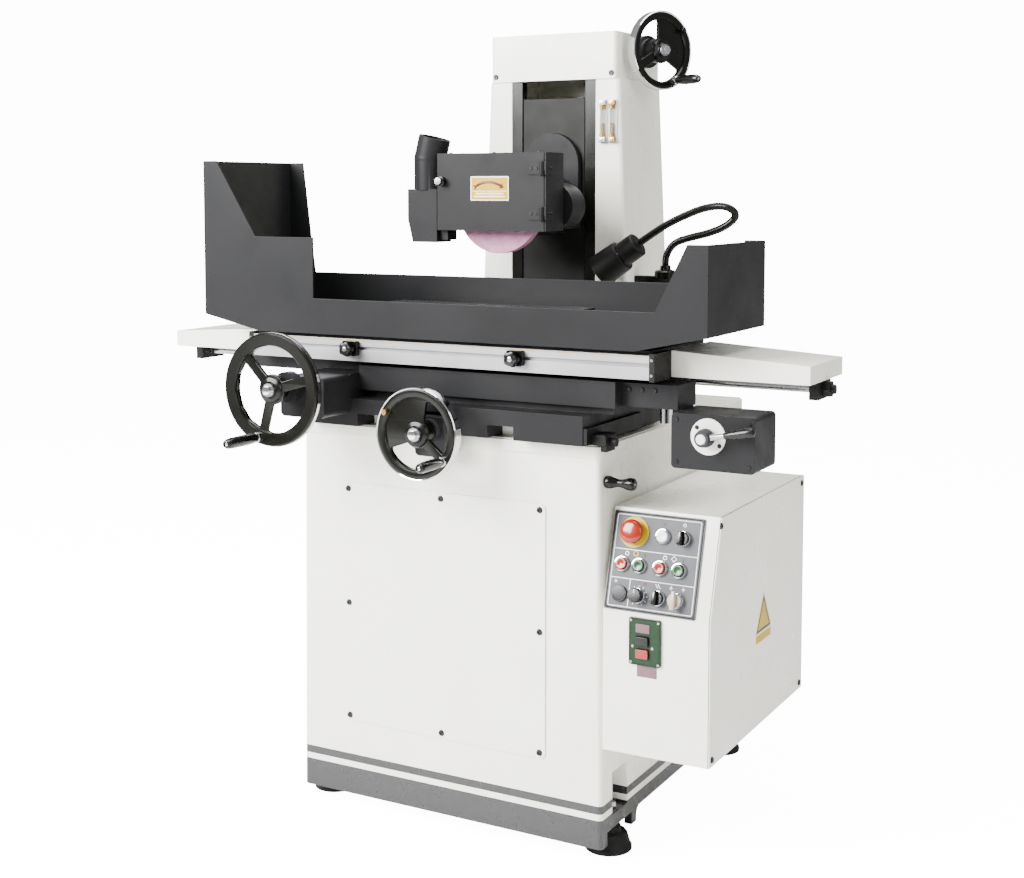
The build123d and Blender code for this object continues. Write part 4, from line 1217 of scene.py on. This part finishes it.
table_wheel = front(-274, -190, 896)
handwheel("table_handwheel", table_wheel, 112, black_enamel,
          [gap(30, 86, 15, 135), gap(30, 86, 135, 255, scallops=5), gap(30, 86, 255, 375)], 236,
          [(86, -7), (86, 6), (88, 8.5), (108, 10), (111, 8), (112, 4), (112, -6), (110, -9),
           (88, -9)])
rides(ring_band("table_wheel_edge", [(110.8, -4), (110.8, 3), (112.3, 3), (112.3, -4)],
                table_wheel, chrome, segments=96), "table_handwheel")
crank_grip("table_grip", on_rim(table_wheel, 100, -108), 95.5, 11)

cross_wheel = front(4, -102, 818)
handwheel("cross_handwheel", cross_wheel, 90, black_enamel,
          [gap(28, 70, 200, 320), gap(28, 70, 320, 440)], 398,
          [(70, -5), (70, 5), (72, 8), (82, 10.5), (86, 9.5), (87, 6), (86, -6), (72, -7)],
          [(80, -13), (80, -11), (86, -8), (86, 8), (88.6, 9.6), (90, 8), (90, -11), (88.6, -13)])
crank_grip("cross_grip", on_rim(cross_wheel, 77, -38), 84, 10.5)
rides(turned("cross_lock", [(0, 9), (6, 9), (6, 16), (5, 18), (0, 18)],
             on_rim(cross_wheel, 77, 150), brass, segments=60,
             lobes=lambda angle: 1 + 0.03 * math.cos(20 * angle)), "cross_handwheel")

turn = math.radians(66.6)
outward = Vector((math.sin(turn), -math.cos(turn), 0))
elevation_wheel = frame_at(at(0, 655, 1589) + outward * 0.236, outward,
                           (math.cos(turn), math.sin(turn), 0))
handwheel("elevation_handwheel", elevation_wheel, 86, black_enamel,
          [gap(28, 68, 90, 210), gap(28, 68, 210, 330)], 213,
          [(68, -5), (68, 5), (70, 8), (78, 10), (82, 9), (83, 6), (82, -6), (70, -7)],
          [(76, -12), (76, -10), (82, -8), (82, 8), (84.6, 9.6), (86, 8), (86, -10), (84.6, -12)])
crank_grip("elevation_grip", on_rim(elevation_wheel, 74, -60), 72, 10.5)
rides(turned("elevation_lock", [(0, 9), (6, 9), (6, 15), (5, 17), (0, 17)],
             on_rim(elevation_wheel, 74, 40), black_plastic, segments=60,
             lobes=lambda angle: 1 + 0.03 * math.cos(20 * angle)), "elevation_handwheel")

# --- Floor, light and camera ------------------------------------------------------------

floor_mesh = bpy.data.meshes.new("floor")
floor_mesh.from_pydata([(-12, -9, 0), (12, -9, 0), (12, 14, 0), (-12, 14, 0)], [], [(0, 1, 2, 3)])
floor = link("floor", floor_mesh)
floor_paint = bpy.data.materials.new("floor_paint")
floor_paint.use_nodes = True
floor_shader = floor_paint.node_tree.nodes["Principled BSDF"]
floor_shader.inputs["Base Color"].default_value = (0.9, 0.9, 0.9, 1)
floor_shader.inputs["Roughness"].default_value = 0.8
floor_shader.inputs["Emission Color"].default_value = (1.0, 1.0, 1.0, 1)
floor_seen = floor_paint.node_tree.nodes.new("ShaderNodeLightPath")
floor_glow = floor_paint.node_tree.nodes.new("ShaderNodeMath")
floor_glow.operation = "MULTIPLY"
floor_glow.inputs[1].default_value = 13.5
floor_paint.node_tree.links.new(floor_seen.outputs["Is Camera Ray"], floor_glow.inputs[0])
floor_paint.node_tree.links.new(floor_glow.outputs["Value"],
                                floor_shader.inputs["Emission Strength"])
floor_mesh.materials.append(floor_paint)

world = bpy.data.worlds.new("studio")
bpy.context.scene.world = world
world.use_nodes = True
sky = world.node_tree
ambient = sky.nodes["Background"]
ambient.inputs["Color"].default_value = (1.0, 1.0, 1.0, 1)
ambient.inputs["Strength"].default_value = 0.48
backdrop = sky.nodes.new("ShaderNodeBackground")
backdrop.inputs["Color"].default_value = (1.0, 1.0, 1.0, 1)
backdrop.inputs["Strength"].default_value = 14.0
seen = sky.nodes.new("ShaderNodeLightPath")
choose = sky.nodes.new("ShaderNodeMixShader")
sky.links.new(seen.outputs["Is Camera Ray"], choose.inputs["Fac"])
sky.links.new(ambient.outputs["Background"], choose.inputs[1])
sky.links.new(backdrop.outputs["Background"], choose.inputs[2])
sky.links.new(choose.outputs["Shader"], sky.nodes["World Output"].inputs["Surface"])


def soft_light(name, place, target, size, power):
    """A square area light that looks at a point."""
    lamp = bpy.data.lights.new(name, "AREA")
    lamp.size = size
    lamp.energy = power
    holder = bpy.data.objects.new(name, lamp)
    bpy.context.scene.collection.objects.link(holder)
    holder.location = place
    holder.rotation_euler = (Vector(target) - Vector(place)).to_track_quat("-Z", "Y").to_euler()


soft_light("key", (-2.2, -3.6, 3.0), (0, 0, 0.8), 2.6, 1000)
soft_light("fill", (3.8, -1.4, 2.4), (0, 0, 0.8), 2.6, 80)
soft_light("top", (0.2, 0.2, 4.4), (0, 0, 1.0), 3.0, 260)

lens = bpy.data.cameras.new("view")
camera = bpy.data.objects.new("view", lens)
bpy.context.scene.collection.objects.link(camera)
camera.location = (1.5485, -2.7633, 1.2823)
camera.rotation_euler = (math.radians(90 - 4.35), 0, math.radians(28.855))
lens.lens = 53.2
lens.sensor_width = 36
lens.shift_y = -0.13
bpy.context.scene.camera = camera
